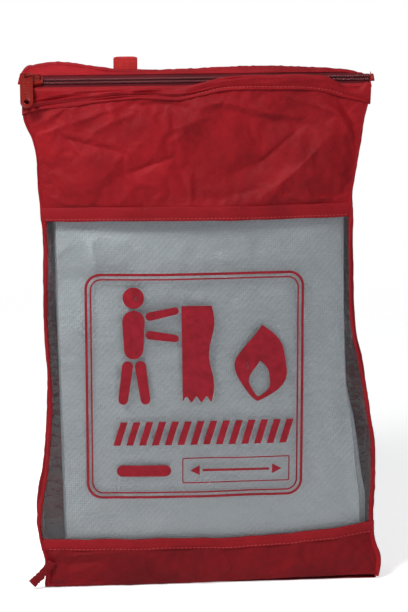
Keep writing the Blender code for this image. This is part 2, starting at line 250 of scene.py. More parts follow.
def points_of(piece):
    flat = np.empty(3 * len(piece.data.vertices))
    piece.data.vertices.foreach_get("co", flat)
    return flat.reshape(-1, 3)


def move_points(piece, points):
    piece.data.vertices.foreach_set("co", np.ascontiguousarray(points, float).ravel())
    piece.data.update()


def cloth_grid(name, columns, rows, place, flat=(0.25, 0.25)):
    """A grid whose points go where place(across, up) says, both shares from 0 to 1. flat is its cut size."""
    deselect()
    bpy.ops.mesh.primitive_grid_add(x_subdivisions=columns, y_subdivisions=rows, size=1.0)
    piece = bpy.context.object
    piece.name = name
    piece.data.name = name
    across, up = (points_of(piece)[:, :2] + 0.5).T
    move_points(piece, np.column_stack(np.broadcast_arrays(*place(across, up))))
    threads = piece.data.uv_layers.active.data
    spots = np.empty(2 * len(threads))
    threads.foreach_get("uv", spots)
    threads.foreach_set("uv", (spots.reshape(-1, 2) * flat).ravel())
    return piece


def apply_all(piece):
    only(piece)
    for step in list(piece.modifiers):
        bpy.ops.object.modifier_apply(modifier=step.name)
    return piece


def weld():
    bpy.ops.mesh.remove_doubles(threshold=1e-6)


def close_ends():
    bpy.ops.mesh.fill_holes(sides=0)


def face_outwards():
    bpy.ops.mesh.normals_make_consistent(inside=False)


def edited(piece, *steps):
    """Run each step in edit mode, on the whole piece."""
    only(piece)
    bpy.ops.object.mode_set(mode="EDIT")
    for step in steps:
        bpy.ops.mesh.select_all(action="SELECT")
        step()
    bpy.ops.object.mode_set(mode="OBJECT")
    return piece


def rolled(name, around, along, place, flat=(0.01, 0.3)):
    """A closed tube: place(turn, share) gives its skin, the turn in radians."""
    piece = cloth_grid(name, around, along, lambda a, u: place(2.0 * math.pi * a, u), flat)
    return edited(piece, weld, close_ends, face_outwards)


def thicken(piece, thickness, offset=0.0):
    wall = piece.modifiers.new("wall", "SOLIDIFY")
    wall.thickness = thickness
    wall.offset = offset
    return apply_all(piece)


def finished(piece, body, finish, nodes=(), smooth=50.0):
    """Give a piece its material, its body and the frame nodes that it stands for."""
    only(piece)
    bpy.ops.object.shade_smooth_by_angle(angle=math.radians(smooth))
    piece.data.materials.clear()
    piece.data.materials.append(finish)
    if nodes:
        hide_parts(*nodes)
    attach(piece, body)
    print("%s: %d faces" % (piece.name, len(piece.data.polygons)))
    return piece


print("tools for soft pieces are ready")

# %% [markdown]
# ## Creases
# Thin nylon taffeta keeps every crease it is given. The long ones are listed one by one, as a tailor would
# chalk them: each is a line of points on the panel with a height, positive towards the viewer, and a
# width. The short ones come from smooth noise, which is a grid of random numbers from a fixed seed with
# a smooth surface drawn through it.

# %% Folds and smooth noise
CREASE_SHARPNESS = 1.1  # 1 would fold to a sharp line, 2 to a soft hill


def smooth_noise(x, z, size, seed):
    """Values near -1 to 1 that vary smoothly over about size metres."""
    table = np.random.default_rng(seed).uniform(-1.0, 1.0, (64, 64))
    a, b = np.asarray(x) / size + 20.0, np.asarray(z) / size + 20.0
    i, j = np.floor(a).astype(int), np.floor(b).astype(int)
    s, t = a - i, b - j
    s, t = s * s * (3 - 2 * s), t * t * (3 - 2 * t)
    i, j, i1, j1 = i % 64, j % 64, (i + 1) % 64, (j + 1) % 64
    low = table[i, j] * (1 - s) + table[i1, j] * s
    return low * (1 - t) + (table[i, j1] * (1 - s) + table[i1, j1] * s) * t


def fold_height(x, z, folds):
    """The sum of creases, each a line of (x, z) points with a height and a width."""
    total = np.zeros(np.broadcast(x, z).shape)
    for line, height, width in folds:
        best = np.full(total.shape, np.inf)
        share = np.zeros(total.shape)
        for k, ((x0, z0), (x1, z1)) in enumerate(zip(line, line[1:])):
            run = np.array((x1 - x0, z1 - z0))
            t = np.clip(((x - x0) * run[0] + (z - z0) * run[1]) / run.dot(run), 0.0, 1.0)
            gap = np.hypot(x - x0 - t * run[0], z - z0 - t * run[1])
            share = np.where(gap < best, (k + t) / (len(line) - 1), share)
            best = np.minimum(best, gap)
        fade = np.sin(np.pi * (0.12 + 0.76 * share)) ** 0.8
        total += height * fade * np.exp(-((best / width) ** CREASE_SHARPNESS))
    return total


print("noise sample %.3f" % smooth_noise(0.1, 0.2, 0.01, 3))

# %% [markdown]
# ## Finishes
# Each finish is a short function that builds one node material. Woven finishes read the piece's own UV
# map, which is in metres, so a thread has its real width on every panel. Moulded and painted finishes
# read Object coordinates.

# %% Weave and colour helpers
def wave_scale(period):
    """The Wave texture's scale for bands this far apart, in the units of its input."""
    return 2.0 * math.pi / (20.0 * period)


def bands(tree, source, output, direction, period, distortion=0.0):
    wave = node(tree, "ShaderNodeTexWave", wave_type="BANDS", bands_direction=direction)
    wave.inputs["Scale"].default_value = wave_scale(period)
    wave.inputs["Distortion"].default_value = distortion
    wire(tree, source, output, wave, "Vector")
    return wave


def math_node(tree, operation, first, second):
    made = node(tree, "ShaderNodeMath", operation=operation)
    for entry, value in zip(made.inputs, (first, second)):
        if isinstance(value, (int, float)):
            entry.default_value = value
        else:
            tree.links.new(value, entry)
    return made.outputs[0]


def noise(tree, coordinates, scale, detail=3.0, roughness=0.55):
    made = node(tree, "ShaderNodeTexNoise", Scale=scale, Detail=detail, Roughness=roughness)
    wire(tree, coordinates, "Object", made, "Vector")
    return made.outputs["Fac"]


def coloured(tree, shader, source, stops):
    """Base colour: a grey value read through a ramp of (place, colour) stops."""
    made = node(tree, "ShaderNodeValToRGB")
    for element, (place, colour) in zip(made.color_ramp.elements, stops):
        element.position = place
        element.color = (*colour, 1.0)
    tree.links.new(source, made.inputs["Fac"])
    wire(tree, made, "Color", shader, "Base Color")


def bump(tree, shader, height, distance, strength, before=None):
    made = node(tree, "ShaderNodeBump", Strength=strength, Distance=distance)
    tree.links.new(height, made.inputs["Height"])
    if before:
        wire(tree, before, "Normal", made, "Normal")
    wire(tree, made, "Normal", shader, "Normal")
    return made


def new_finish(name):
    """A new material, with its node tree, its shader and a node that gives Object coordinates."""
    material = bpy.data.materials.new(name)
    tree, shader = nodes_of(material)
    return material, tree, shader, node(tree, "ShaderNodeTexCoord")


# %% Woven finishes
def woven(name, dark, light, period, roughness, sheen, depth, worn=0.25, diagonal=False, patchy=0.75):
    """A cloth: threads over and under each other, and slow changes of shade over the piece."""
    material, tree, shader, place = new_finish(name)
    uv = node(tree, "ShaderNodeUVMap")
    warp = bands(tree, uv, "UV", "X", period)
    weft = bands(tree, uv, "UV", "Y", period)
    height = math_node(tree, "MULTIPLY", warp.outputs["Fac"], weft.outputs["Fac"])
    if diagonal:
        twill = bands(tree, uv, "UV", "DIAGONAL", period * 1.4)
        height = math_node(tree, "ADD", height, math_node(tree, "MULTIPLY", twill.outputs["Fac"], 0.6))
    tone = math_node(tree, "MULTIPLY", noise(tree, place, 22.0, 4.0), patchy)
    tone = math_node(tree, "ADD", tone, math_node(tree, "MULTIPLY", noise(tree, place, 420.0, 2.0), worn))
    tone = math_node(tree, "ADD", tone, math_node(tree, "MULTIPLY", height, 0.18))
    coloured(tree, shader, tone, ((0.30, dark), (0.82, light)))
    tint = (*[min(1.0, 1.9 * c + 0.05) for c in light], 1.0)
    settings(shader, Roughness=roughness, Sheen_Weight=sheen, Sheen_Roughness=0.4, Sheen_Tint=tint)
    settings(shader, Specular_IOR_Level=0.16)
    creased = bump(tree, shader, noise(tree, place, 95.0, 4.0), 0.0011, 0.55)
    bump(tree, shader, height, depth, 0.8, before=creased)
    return material


TAFFETA = {"period": 0.00045, "sheen": 0.08, "depth": 0.00006}
nylon = woven("nylon_taffeta", (0.155, 0.0028, 0.0060), (0.40, 0.0080, 0.0140), roughness=0.58, **TAFFETA)
# The same taffeta in darker tones, for the band along the floor, its bound edges and the loose end: painted
# shade, as that cloth faces down and away from the light.
nylon_painted_shade = woven(
    "nylon_taffeta_painted_shade", (0.100, 0.0018, 0.0042), (0.26, 0.0052, 0.0095), roughness=0.60, **TAFFETA
)
binding_cloth = woven("binding_tape", (0.18, 0.004, 0.008), (0.37, 0.010, 0.016), 0.0006, 0.60, 0.10, 0.00010)
webbing_cloth = woven("woven_webbing", (0.38, 0.016, 0.018), (0.60, 0.040, 0.038), 0.0011, 0.6, 0.3, 0.00022)
tape_cloth = woven("zip_tape_weave", (0.045, 0.003, 0.005), (0.13, 0.006, 0.011), 0.0007, 0.65, 0.1, 0.00012)
glass_weave = woven(
    "glass_cloth", (0.58, 0.635, 0.64), (0.96, 0.98, 1.0), 0.0016, 0.48, 0.15, 0.00030, 0.2, True, 0.25
)
thread_finish = woven("sewing_thread", (0.42, 0.03, 0.035), (0.62, 0.10, 0.10), 0.0004, 0.5, 0.2, 0.00004)
print("cloth finishes ready")

# %% [markdown]
# The hard finishes are a painted metal for the slider and stops, whose paint is thinner along its edges,
# and a smooth dark filament for the coils. The window is a clear vinyl. A thin clear sheet hardly bends
# the light behind it, so it is made as two things mixed: a faintly grey view straight through, and a
# sharp gloss that grows towards grazing angles.

# %% Painted metal, coil filament, vinyl and ink
def painted(name, colour, edge, roughness):
    material, tree, shader, place = new_finish(name)
    form = node(tree, "ShaderNodeNewGeometry")
    wear = math_node(tree, "MULTIPLY", noise(tree, place, 900.0, 4.0), 0.10)
    mask = math_node(tree, "ADD", form.outputs["Pointiness"], wear)
    coloured(tree, shader, mask, ((0.555, colour), (0.66, edge)))
    settings(shader, Roughness=roughness, Coat_Weight=0.05, Coat_Roughness=0.25, Specular_IOR_Level=0.15)
    bump(tree, shader, noise(tree, place, 1500.0, 3.0), 0.00005, 0.6)
    return material


def filament():
    material, tree, shader, place = new_finish("coil_filament")
    uneven = noise(tree, place, 260.0, 2.0)
    coloured(tree, shader, uneven, ((0.3, (0.075, 0.006, 0.010)), (0.75, (0.16, 0.016, 0.024))))
    settings(shader, Roughness=0.24, Specular_IOR_Level=0.7)
    return material


def clear_vinyl():
    material, tree, shader, place = new_finish("clear_vinyl")
    settings(shader, Base_Color=(0.22, 0.22, 0.24, 1.0), Roughness=0.09, IOR=2.6, Specular_IOR_Level=1.0)
    ripples = bump(tree, shader, noise(tree, place, 34.0, 3.0), 0.0035, 0.45)
    bump(tree, shader, noise(tree, place, 190.0, 2.0), 0.0020, 0.9, before=ripples)
    clear = node(tree, "ShaderNodeBsdfTransparent", Color=(0.985, 0.99, 0.992, 1.0))
    facing = node(tree, "ShaderNodeLayerWeight", Blend=0.22)
    haze = math_node(tree, "MULTIPLY", noise(tree, place, 60.0, 4.0), 0.06)
    share = math_node(tree, "MULTIPLY", facing.outputs["Fresnel"], 0.75)
    share = math_node(tree, "ADD", math_node(tree, "ADD", share, haze), 0.045)
    mixed = node(tree, "ShaderNodeMixShader")
    tree.links.new(share, mixed.inputs["Fac"])
    wire(tree, clear, 0, mixed, 1)
    wire(tree, shader, 0, mixed, 2)
    wire(tree, mixed, 0, tree.nodes["Material Output"], "Surface")
    return material


def printing_ink():
    material, tree, shader, place = new_finish("red_ink")
    uneven = noise(tree, place, 160.0, 5.0)
    coloured(tree, shader, uneven, ((0.3, (0.21, 0.005, 0.012)), (0.8, (0.34, 0.010, 0.024))))
    settings(shader, Roughness=0.50, Specular_IOR_Level=0.20)
    bump(tree, shader, noise(tree, place, 900.0, 2.0), 0.00005, 0.5)
    return material


enamel = painted("orange_enamel", (0.17, 0.0065, 0.0038), (0.25, 0.012, 0.007), 0.42)
coil_filament = filament()
vinyl = clear_vinyl()
ink = printing_ink()
print("hard finishes ready")

# %% [markdown]
# ## The front of the pouch
# The front is five pieces that follow one surface: a creased panel on top, a folded hem, the vinyl
# window, another hem, and the band along the floor. One function gives that surface. It takes the share
# across the pouch and the height, and returns the place on the filled front, so that pieces that are
# sewn together meet along the same line.

# %% The front surface
SEAM_INSET = 0.0017  # the panels end this far inside the silhouette, under the bindings
HEM_RISE = (  # x, and how far the hem under the window strays from level
    (-0.135, -0.0013), (-0.090, -0.0015), (-0.045, -0.0017), (-0.010, -0.0014), (0.020, -0.0022),
    (0.045, -0.0008), (0.070, 0.0000), (0.100, 0.0020), (0.125, 0.0048), (0.146, 0.0080),
)
RIDGE_FOOT = (  # x, and the height of the stitched line under the zip's front edge
    (-0.1447, 0.4010), (-0.132, 0.4045), (-0.120, 0.4062), (-0.105, 0.4076), (-0.084, 0.4104),
    (-0.060, 0.4124), (-0.040, 0.4128), (-0.020, 0.4116), (-0.003, 0.4146), (0.015, 0.4184),
    (0.030, 0.4190), (0.056, 0.4186), (0.085, 0.4176), (0.101, 0.4150), (0.112, 0.4120),
    (0.123, 0.4090), (0.1328, 0.4060),
)
PANEL_FOLDS = (
    (((-0.1390, 0.3885), (-0.1240, 0.3960), (-0.1105, 0.4035)), 0.0016, 0.0024),
    (((-0.1300, 0.3835), (-0.1005, 0.3940), (-0.0645, 0.4060)), 0.0021, 0.0028),
    (((-0.0900, 0.3835), (-0.0735, 0.3930), (-0.0555, 0.3990)), 0.0017, 0.0030),
    (((-0.1125, 0.3800), (-0.0890, 0.3745), (-0.0635, 0.3685)), -0.0023, 0.0030),
    (((-0.1125, 0.3835), (-0.0890, 0.3795), (-0.0675, 0.3730)), 0.0011, 0.0030),
    (((-0.0615, 0.3515), (-0.0440, 0.3570), (-0.0245, 0.3630)), -0.0019, 0.0030),
    (((-0.0725, 0.3565), (-0.0565, 0.3450), (-0.0310, 0.3375)), 0.0015, 0.0024),
    (((-0.0320, 0.3840), (-0.0125, 0.3905), (0.0090, 0.3980)), 0.0030, 0.0080),
    (((-0.0675, 0.4050), (-0.0380, 0.4065), (-0.0105, 0.4035)), -0.0022, 0.0040),
    (((-0.0085, 0.4035), (0.0150, 0.4080), (0.0480, 0.3990), (0.0890, 0.3925)), 0.0030, 0.0042),
    (((0.0170, 0.4015), (0.0480, 0.3920), (0.0815, 0.3875)), -0.0020, 0.0060),
    (((0.0580, 0.4140), (0.0775, 0.4080), (0.0960, 0.4015), (0.1185, 0.3900)), 0.0022, 0.0028),
    (((0.0845, 0.4155), (0.0950, 0.4070), (0.1060, 0.3990), (0.1215, 0.3760)), 0.0024, 0.0034),
    (((0.1070, 0.4065), (0.1145, 0.3980), (0.1235, 0.3825)), -0.0018, 0.0040),
    (((0.0460, 0.3315), (0.0695, 0.3485), (0.0970, 0.3760)), 0.0042, 0.0120),
    (((0.0225, 0.3485), (0.0480, 0.3600), (0.0795, 0.3875)), -0.0040, 0.0140),
    (((0.0170, 0.3320), (0.0325, 0.3345), (0.0480, 0.3385)), -0.0013, 0.0026),
    (((0.0540, 0.3305), (0.0835, 0.3290), (0.1205, 0.3275)), 0.0014, 0.0026),
    (((0.1030, 0.3285), (0.1125, 0.3315), (0.1235, 0.3365)), -0.0016, 0.0030),
    (((-0.1260, 0.3355), (-0.1125, 0.3280), (-0.0930, 0.3250)), 0.0014, 0.0040),
    (((-0.1280, 0.3600), (-0.1185, 0.3465), (-0.1125, 0.3305)), -0.0016, 0.0050),
)
SOFT_HILLS = (  # x, height above the floor, how far out, how wide
    (-0.086, 0.350, 0.0035, 0.032), (-0.003, 0.359, -0.0024, 0.034), (0.095, 0.350, 0.0025, 0.026),
    (0.041, 0.373, -0.0002, 0.026), (-0.042, 0.388, 0.0012, 0.020),
)


def ease(value, low, high):
    t = np.clip((value - low) / (high - low), 0.0, 1.0)
    return t * t * (3.0 - 2.0 * t)


def inside(across, up, sides, low, high):
    """0 along a panel's edges and 1 inside them. The three widths are shares of the panel."""
    both = ease(across, 0.0, sides) * ease(1.0 - across, 0.0, sides)
    return both * ease(up, 0.0, low) * ease(1.0 - up, 0.0, high)


def seam_x(z, side):
    """The silhouette on one side of the pouch, -1 left or 1 right."""
    return smooth_line(LEFT_OUTLINE if side < 0 else RIGHT_OUTLINE, z)


def side_x(z, side, y):
    """The same at a depth between the front seam and the back one."""
    back_share = np.clip((y - FRONT_Y) / (BACK_Y - FRONT_Y), 0.0, 1.0)
    flare = BACK_FLARE * np.sqrt(back_share) * ease(z, 0.370, 0.410) if side > 0 else 0.0
    return seam_x(z, side) + flare


def front_y(x, z):
    """Depth of the filled front, without its creases."""
    left, right = seam_x(z, -1), seam_x(z, 1)
    across = np.clip((x - left) / (right - left), 0.0, 1.0)
    round_off = (1.0 - (2.0 * across - 1.0) ** 2) ** 0.8
    return FRONT_Y - smooth_line(SWELL, z) * round_off


def hem_line(x):
    return smooth_line(HEM_RISE, x) + 0.0004 * smooth_noise(x, 0.0 * x, 0.012, 5)


def front_place(across, up, low, high, inset=SEAM_INSET):
    """x and z on the front between two edge curves, low(x) and high(x)."""
    z = low(np.zeros_like(up)) * (1 - up) + high(np.zeros_like(up)) * up
    for _ in range(2):
        x = (seam_x(z, -1) + inset) * (1 - across) + (seam_x(z, 1) - inset) * across
        z = low(x) * (1 - up) + high(x) * up
    return x, z


def panel_low(x):
    return np.full_like(x, top_hem_box[1].z - 0.0015)


def panel_high(x):
    return smooth_line(RIDGE_FOOT, x)


def creased_panel(across, up):
    x, z = front_place(across, up, panel_low, panel_high)
    out = fold_height(x, z, PANEL_FOLDS)
    for hill_x, hill_z, height, wide in SOFT_HILLS:
        out += height * np.exp(-((x - hill_x) ** 2 + (z - hill_z) ** 2) / wide**2)
    out += 0.0006 * smooth_noise(x, z, 0.016, 11) + 0.0003 * smooth_noise(x, z, 0.006, 12)
    return x, front_y(x, z) - out * inside(across, up, 0.05, 0.06, 0.05), z


print("the filled front stands %.1f mm out" % ((FRONT_Y - front_y(0.0, 0.2)) / MM))


# %% [markdown]
# The placed folds look too calm alone, because real nylon also buckles wherever there is cloth to spare.
# A short cloth simulation adds that. The panel's edges are pinned along its seams, its springs are made
# a little longer than the panel, and it creases by itself. How far each point may move is capped, so
# that the panel stays clear of what is behind it.

# %% Buckling by cloth simulation
PANEL_COLUMNS = 170


def buckled(piece, columns, slack, frames, furthest, stiffness):
    """Pin a panel's four edges, give it some spare cloth and let it find its own creases."""
    start = points_of(piece)
    count = columns + 1
    number = np.arange(len(start))
    row, column = number // count, number % count
    held = (row < 2) | (row > row.max() - 2) | (column < 2) | (column > columns - 2)
    sewn = piece.vertex_groups.new(name="sewn")
    sewn.add([int(k) for k in number[held]], 1.0, "REPLACE")
    cloth = piece.modifiers.new("buckle", "CLOTH")
    nylon_sheet = cloth.settings
    nylon_sheet.vertex_group_mass = "sewn"
    nylon_sheet.quality = 6
    nylon_sheet.mass = 0.05
    nylon_sheet.tension_stiffness = 12.0
    nylon_sheet.compression_stiffness = 12.0
    nylon_sheet.shear_stiffness = 4.0
    nylon_sheet.bending_stiffness = stiffness
    nylon_sheet.air_damping = 4.0
    nylon_sheet.shrink_min = -slack
    nylon_sheet.shrink_max = -slack
    nylon_sheet.effector_weights.gravity = 0.0
    cloth.collision_settings.use_collision = False
    scene = bpy.context.scene
    for step in range(1, frames + 1):
        scene.frame_set(step)
    apply_all(piece)
    piece.vertex_groups.clear()
    scene.frame_set(1)
    shift = points_of(piece) - start
    length = np.linalg.norm(shift, axis=1)
    move_points(piece, start + shift * np.minimum(1.0, furthest / np.maximum(length, 1e-9))[:, None])
    print("%s buckled by up to %.1f mm" % (piece.name, length.max() / MM))
    return piece


front_upper = cloth_grid("front_upper_panel", PANEL_COLUMNS, 62, creased_panel, (0.285, 0.098))
buckled(front_upper, PANEL_COLUMNS, 0.012, 22, 0.0022, 0.6)
finished(thicken(front_upper, 0.0005), "pouch", nylon, ["front_top_panel"])

# %% [markdown]
# The hems are strips of the same cloth folded over the vinyl's raw edges and stitched through. A folded
# strip is a flat tube, so each hem is a rolled grid with a flattened outline. Its stitching pulls it
# thinner along one line, which a small dip in its thickness shows.

# %% The hems above and below the window
def flat_round(turn, power=0.55):
    """An outline between an ellipse and a rectangle: shares along its long and its short side."""
    c, s = np.cos(turn), np.sin(turn)
    return np.sign(c) * np.abs(c) ** power, np.sign(s) * np.abs(s) ** power


def hem_strip(name, middle, tall, thick, stitch, seed, nodes):
    """A folded strip across the front whose middle line is middle(x); stitch is where it is sewn."""

    def place(turn, share):
        left, right = seam_x(middle(0.0 * share), -1), seam_x(middle(0.0 * share), 1)
        x = left * (1 - share) + right * share
        high, out = flat_round(turn)
        z = middle(x) + 0.5 * tall * high * (1.0 + 0.05 * smooth_noise(x, 0 * x, 0.02, seed))
        pinch = 1.0 - 0.45 * np.exp(-(((high - stitch) / 0.16) ** 2))
        puff = 1.0 + 0.30 * smooth_noise(x, z, 0.008, seed + 1)
        y = front_y(x, middle(x)) - 0.0005 - 0.5 * thick * out * pinch * puff
        y = y - 0.0005 * smooth_noise(x, z, 0.020, seed + 2)
        return x, y, z

    piece = rolled(name, 28, 180, place, (0.024, 0.27))
    return finished(piece, "pouch", binding_cloth, nodes)


def top_hem_middle(x):
    middle = 0.5 * (top_hem_box[0].z + top_hem_box[1].z)
    return middle + 0.0005 * smooth_noise(np.asarray(x, float), 0.0, 0.04, 21)


def low_hem_top(x):
    return low_hem_box[1].z + hem_line(np.asarray(x, float))


def low_hem_middle(x):
    return low_hem_top(x) - LOW_HEM_DROP


TOP_HEM_TALL, LOW_HEM_TALL, LOW_HEM_DROP = 0.0118, 0.0098, 0.0048
hem_strip("hem_above_window", top_hem_middle, TOP_HEM_TALL, 0.0022, -0.62, 31, ["window_top_hem"])
hem_strip("hem_below_window", low_hem_middle, LOW_HEM_TALL, 0.0026, -0.70, 41, ["window_bottom_hem"])


# %% The vinyl window
WINDOW_FOLDS = (
    (((-0.0985, 0.3065), (-0.0950, 0.2915), (-0.0890, 0.2680)), 0.0013, 0.0030),
    (((0.1185, 0.1915), (0.1225, 0.1450), (0.1235, 0.0945), (0.1265, 0.0665)), 0.0022, 0.0042),
    (((0.0265, 0.2155), (0.0420, 0.1700), (0.0480, 0.1550)), 0.0010, 0.0050),
    (((0.0805, 0.1955), (0.1000, 0.1855), (0.1165, 0.1815)), 0.0009, 0.0040),
    (((-0.0635, 0.2580), (-0.0555, 0.2510), (-0.0520, 0.2380)), 0.0008, 0.0030),
    (((-0.1185, 0.0640), (-0.0810, 0.0765), (-0.0320, 0.0785)), 0.0008, 0.0070),
)


def window_low(x):
    return low_hem_top(x) - 0.0050


def window_high(x):
    return top_hem_middle(x)


def film_y(x, z):
    """Depth of the vinyl at a place on the front, ripples and wrinkles included."""
    out = fold_height(x, z, WINDOW_FOLDS)
    out = out + 0.0009 * smooth_noise(x, z, 0.038, 51) + 0.00022 * smooth_noise(x, z, 0.009, 52)
    left, right = seam_x(z, -1), seam_x(z, 1)
    edge = ease(x - left, 0.001, 0.012) * ease(right - x, 0.001, 0.012)
    edge = edge * ease(z - window_low(x), 0.0, 0.014) * ease(window_high(x) - z, 0.0, 0.014)
    return front_y(x, z) - out * edge


def window_place(across, up):
    x, z = front_place(across, up, window_low, window_high)
    return x, film_y(x, z), z


window = cloth_grid("window_vinyl", 150, 150, window_place, (0.26, 0.27))
finished(thicken(window, 0.0003), "pouch", vinyl, ["window_film"])

# %% The band along the floor
PANEL_FOOT = FLOOR + 0.0008  # where the cloth ends above the floor
BAND_FOLDS = (
    (((-0.129, 0.024), (-0.112, 0.0205), (-0.088, 0.0230)), -0.0022, 0.0030),
    (((-0.128, 0.0300), (-0.110, 0.0290), (-0.070, 0.0310)), 0.0014, 0.0022),
    (((-0.130, 0.0060), (-0.115, 0.0120), (-0.100, 0.0150)), 0.0016, 0.0030),
    (((-0.120, 0.0150), (-0.105, 0.0080), (-0.080, 0.0050)), -0.0012, 0.0040),
    (((-0.050, 0.0250), (-0.048, 0.0150), (-0.042, 0.0060)), 0.0008, 0.0040),
    (((0.020, 0.0260), (0.024, 0.0160), (0.022, 0.0060)), -0.0010, 0.0050),
    (((0.070, 0.0300), (0.082, 0.0200), (0.086, 0.0080)), 0.0012, 0.0050),
    (((0.118, 0.0360), (0.132, 0.0240), (0.141, 0.0120)), 0.0016, 0.0040),
    (((0.128, 0.0380), (0.137, 0.0330), (0.144, 0.0290)), -0.0018, 0.0026),
)


def floor_lift(x):
    """The front's lower edge is pulled up a little on the right."""
    return 0.0032 * ease(x, -0.030, 0.100)


def band_low(x):
    return PANEL_FOOT + floor_lift(x)


def band_high(x):
    return low_hem_top(x) - 0.0075


def band_place(across, up):
    x, z = front_place(across, up, band_low, band_high)
    edge = ease(across, 0.0, 0.03) * ease(1.0 - across, 0.0, 0.03)
    out = fold_height(x, z, BAND_FOLDS) + 0.0022 * np.sin(math.pi * up) ** 0.7
    out = out + 0.0008 * smooth_noise(x, z, 0.020, 61) + 0.0004 * smooth_noise(x, z, 0.007, 62)
    return x, front_y(x, z) - out * edge, z


band = cloth_grid("front_floor_band", PANEL_COLUMNS, 26, band_place, (0.28, 0.036))
buckled(band, PANEL_COLUMNS, 0.010, 18, 0.0015, 0.4)
# The band gets the darker taffeta: painted shade.
finished(thicken(band, 0.0005), "pouch", nylon_painted_shade, ["front_band"])

# %% [markdown]
# ## The back, the sides and the bottom
# The back is one plain panel. The sides are gussets, strips as wide as the pouch is deep, which fold a
# little inwards along their middle. They are grids again, and they share the silhouette with the front.

# %% Lines along the top
ZIP_TILT = math.radians(30.0)
TAPE_DEPTH = 0.0015  # the tapes lie this far under the middle of the coils
zip_y = 0.5 * (coil_box[1].y + back_coil_box[0].y) + TAPE_DEPTH * math.sin(ZIP_TILT)
zip_z = 0.5 * (coil_box[1].z + back_coil_box[0].z) - TAPE_DEPTH * math.cos(ZIP_TILT)
ZIP_FRAME = Matrix.Translation((0.0, zip_y, zip_z)) @ Matrix.Rotation(ZIP_TILT, 4, "X")


def zip_point(across, above):
    """World y and z of a point given in the zip's own plane."""
    place = ZIP_FRAME @ Vector((0.0, across, above))
    return place.y, place.z


RIDGE_TOP = (  # x, and the height of the cloth's fold in front of the zip
    (-0.1447, 0.4120), (-0.132, 0.4132), (-0.120, 0.4148), (-0.105, 0.4168), (-0.084, 0.4182),
    (-0.060, 0.4192), (-0.040, 0.4196), (-0.020, 0.4198), (-0.003, 0.4222), (0.012, 0.4262),
    (0.028, 0.4280), (0.056, 0.4284), (0.085, 0.4282), (0.099, 0.4262), (0.107, 0.4212),
    (0.114, 0.4180), (0.1205, 0.4172), (0.126, 0.4184), (0.1295, 0.4218), (0.1328, 0.4210),
)
BACK_TOP = (  # x, and the height of the back's bound edge
    (-0.1450, 0.4150), (-0.1436, 0.4222), (-0.1408, 0.4287), (-0.1330, 0.4325), (-0.1247, 0.4341),
    (-0.1087, 0.4345), (-0.0927, 0.4321), (-0.0767, 0.4295), (-0.0445, 0.4274), (-0.0123, 0.4278),
    (0.0201, 0.4290), (0.0525, 0.4294), (0.0850, 0.4282), (0.1013, 0.4271), (0.1176, 0.4256),
    (0.1270, 0.4234), (0.1341, 0.4196), (0.1378, 0.4120),
)
print("chain middle: y %.4f z %.4f" % zip_point(0.0, 0.0))


# %% Back panel, gussets and bottom
BACK_FOOT, BACK_TALL = 0.0030, 0.4090
GUSSET_TOPS = {-1: (-0.1427, -0.1430), 1: (0.1322, 0.1355)}  # x of a gusset's top, in front and behind


def back_panel_place(across, up):
    z = BACK_FOOT + BACK_TALL * up
    x = (seam_x(z, -1) + SEAM_INSET) * (1 - across) + (side_x(z, 1, BACK_Y) - SEAM_INSET) * across
    z = BACK_FOOT + (smooth_line(BACK_TOP, x) - 2.0 * BACK_FOOT) * up
    slant = smooth_noise(x + 0.5 * z, 0.3 * (z - x), 0.030, 71)
    wrinkle = 0.0016 * np.abs(slant) + 0.0007 * smooth_noise(x, z, 0.014, 72)
    swell = 0.0045 * np.sin(math.pi * up) ** 0.8 * (1.0 - (2.0 * across - 1.0) ** 2)
    return x, BACK_Y + 0.0008 + (swell - 1.6 * wrinkle) * inside(across, up, 0.06, 0.05, 0.05), z


back = cloth_grid("back_cloth", 120, 150, back_panel_place, (0.28, 0.42))
finished(thicken(back, 0.0006), "pouch", nylon, ["back_panel"])


def top_edge(y, side):
    """Height of the closed top over a gusset."""
    front_x, back_x = GUSSET_TOPS[side]
    line = (
        (FRONT_Y, float(smooth_line(RIDGE_TOP, front_x)) - 0.0015),
        zip_point(-0.0080, 0.0008),
        zip_point(0.0080, 0.0008),
        (BACK_Y, float(smooth_line(BACK_TOP, back_x)) - 0.0030),
    )
    ys, zs = zip(*sorted(line))
    return np.interp(y, ys, zs)


def gusset_piece(name, side, tuck_in, node_name):
    """One side of the pouch, folded inwards by tuck_in along its middle."""

    def place(across, up):
        y = FRONT_Y * (1 - across) + BACK_Y * across
        z = PANEL_FOOT + (top_edge(y, side) - PANEL_FOOT) * up
        middle = 1.0 - (2.0 * across - 1.0) ** 2
        tuck = tuck_in * middle + 0.0010 * middle * smooth_noise(z, y, 0.022, 81 + side)
        tuck = tuck + 0.0007 * middle * smooth_noise(z, y, 0.008, 84 + side)
        return side_x(z, side, y) - side * (SEAM_INSET + tuck), y, z

    piece = cloth_grid(name, 26, 170, place, (0.038, 0.42))
    return finished(thicken(piece, 0.0006), "pouch", nylon, [node_name])


gusset_piece("side_gusset_left", -1, 0.0026, "left_gusset")
gusset_piece("side_gusset_right", 1, 0.0003, "right_gusset")


def bottom_place(across, up):
    left, right = LEFT_OUTLINE[0][1] + SEAM_INSET, RIGHT_OUTLINE[0][1] - SEAM_INSET
    x = left * (1 - across) + right * across
    y = (FRONT_Y + 0.001) * (1 - up) + (BACK_Y - 0.001) * up
    return x, y, FLOOR + 0.0006 + 0.0002 * smooth_noise(x, y, 0.012, 91)


bottom = cloth_grid("bottom_cloth", 60, 12, bottom_place, (0.28, 0.038))
finished(thicken(bottom, 0.0006), "pouch", nylon, ["bottom_gusset"])

# %% [markdown]
# ## Cloth on either side of the zip
# In front of the zip the cloth folds over into a ridge. On the left it lies low and puffs up in front of
# the chain. On the right it stands up, shows its top stitching, and hides the chain. Behind the zip the
# cloth sinks into a shadow and climbs to the bound back edge. Each strip is a path across the top whose
# points slide along the two ridge lines.

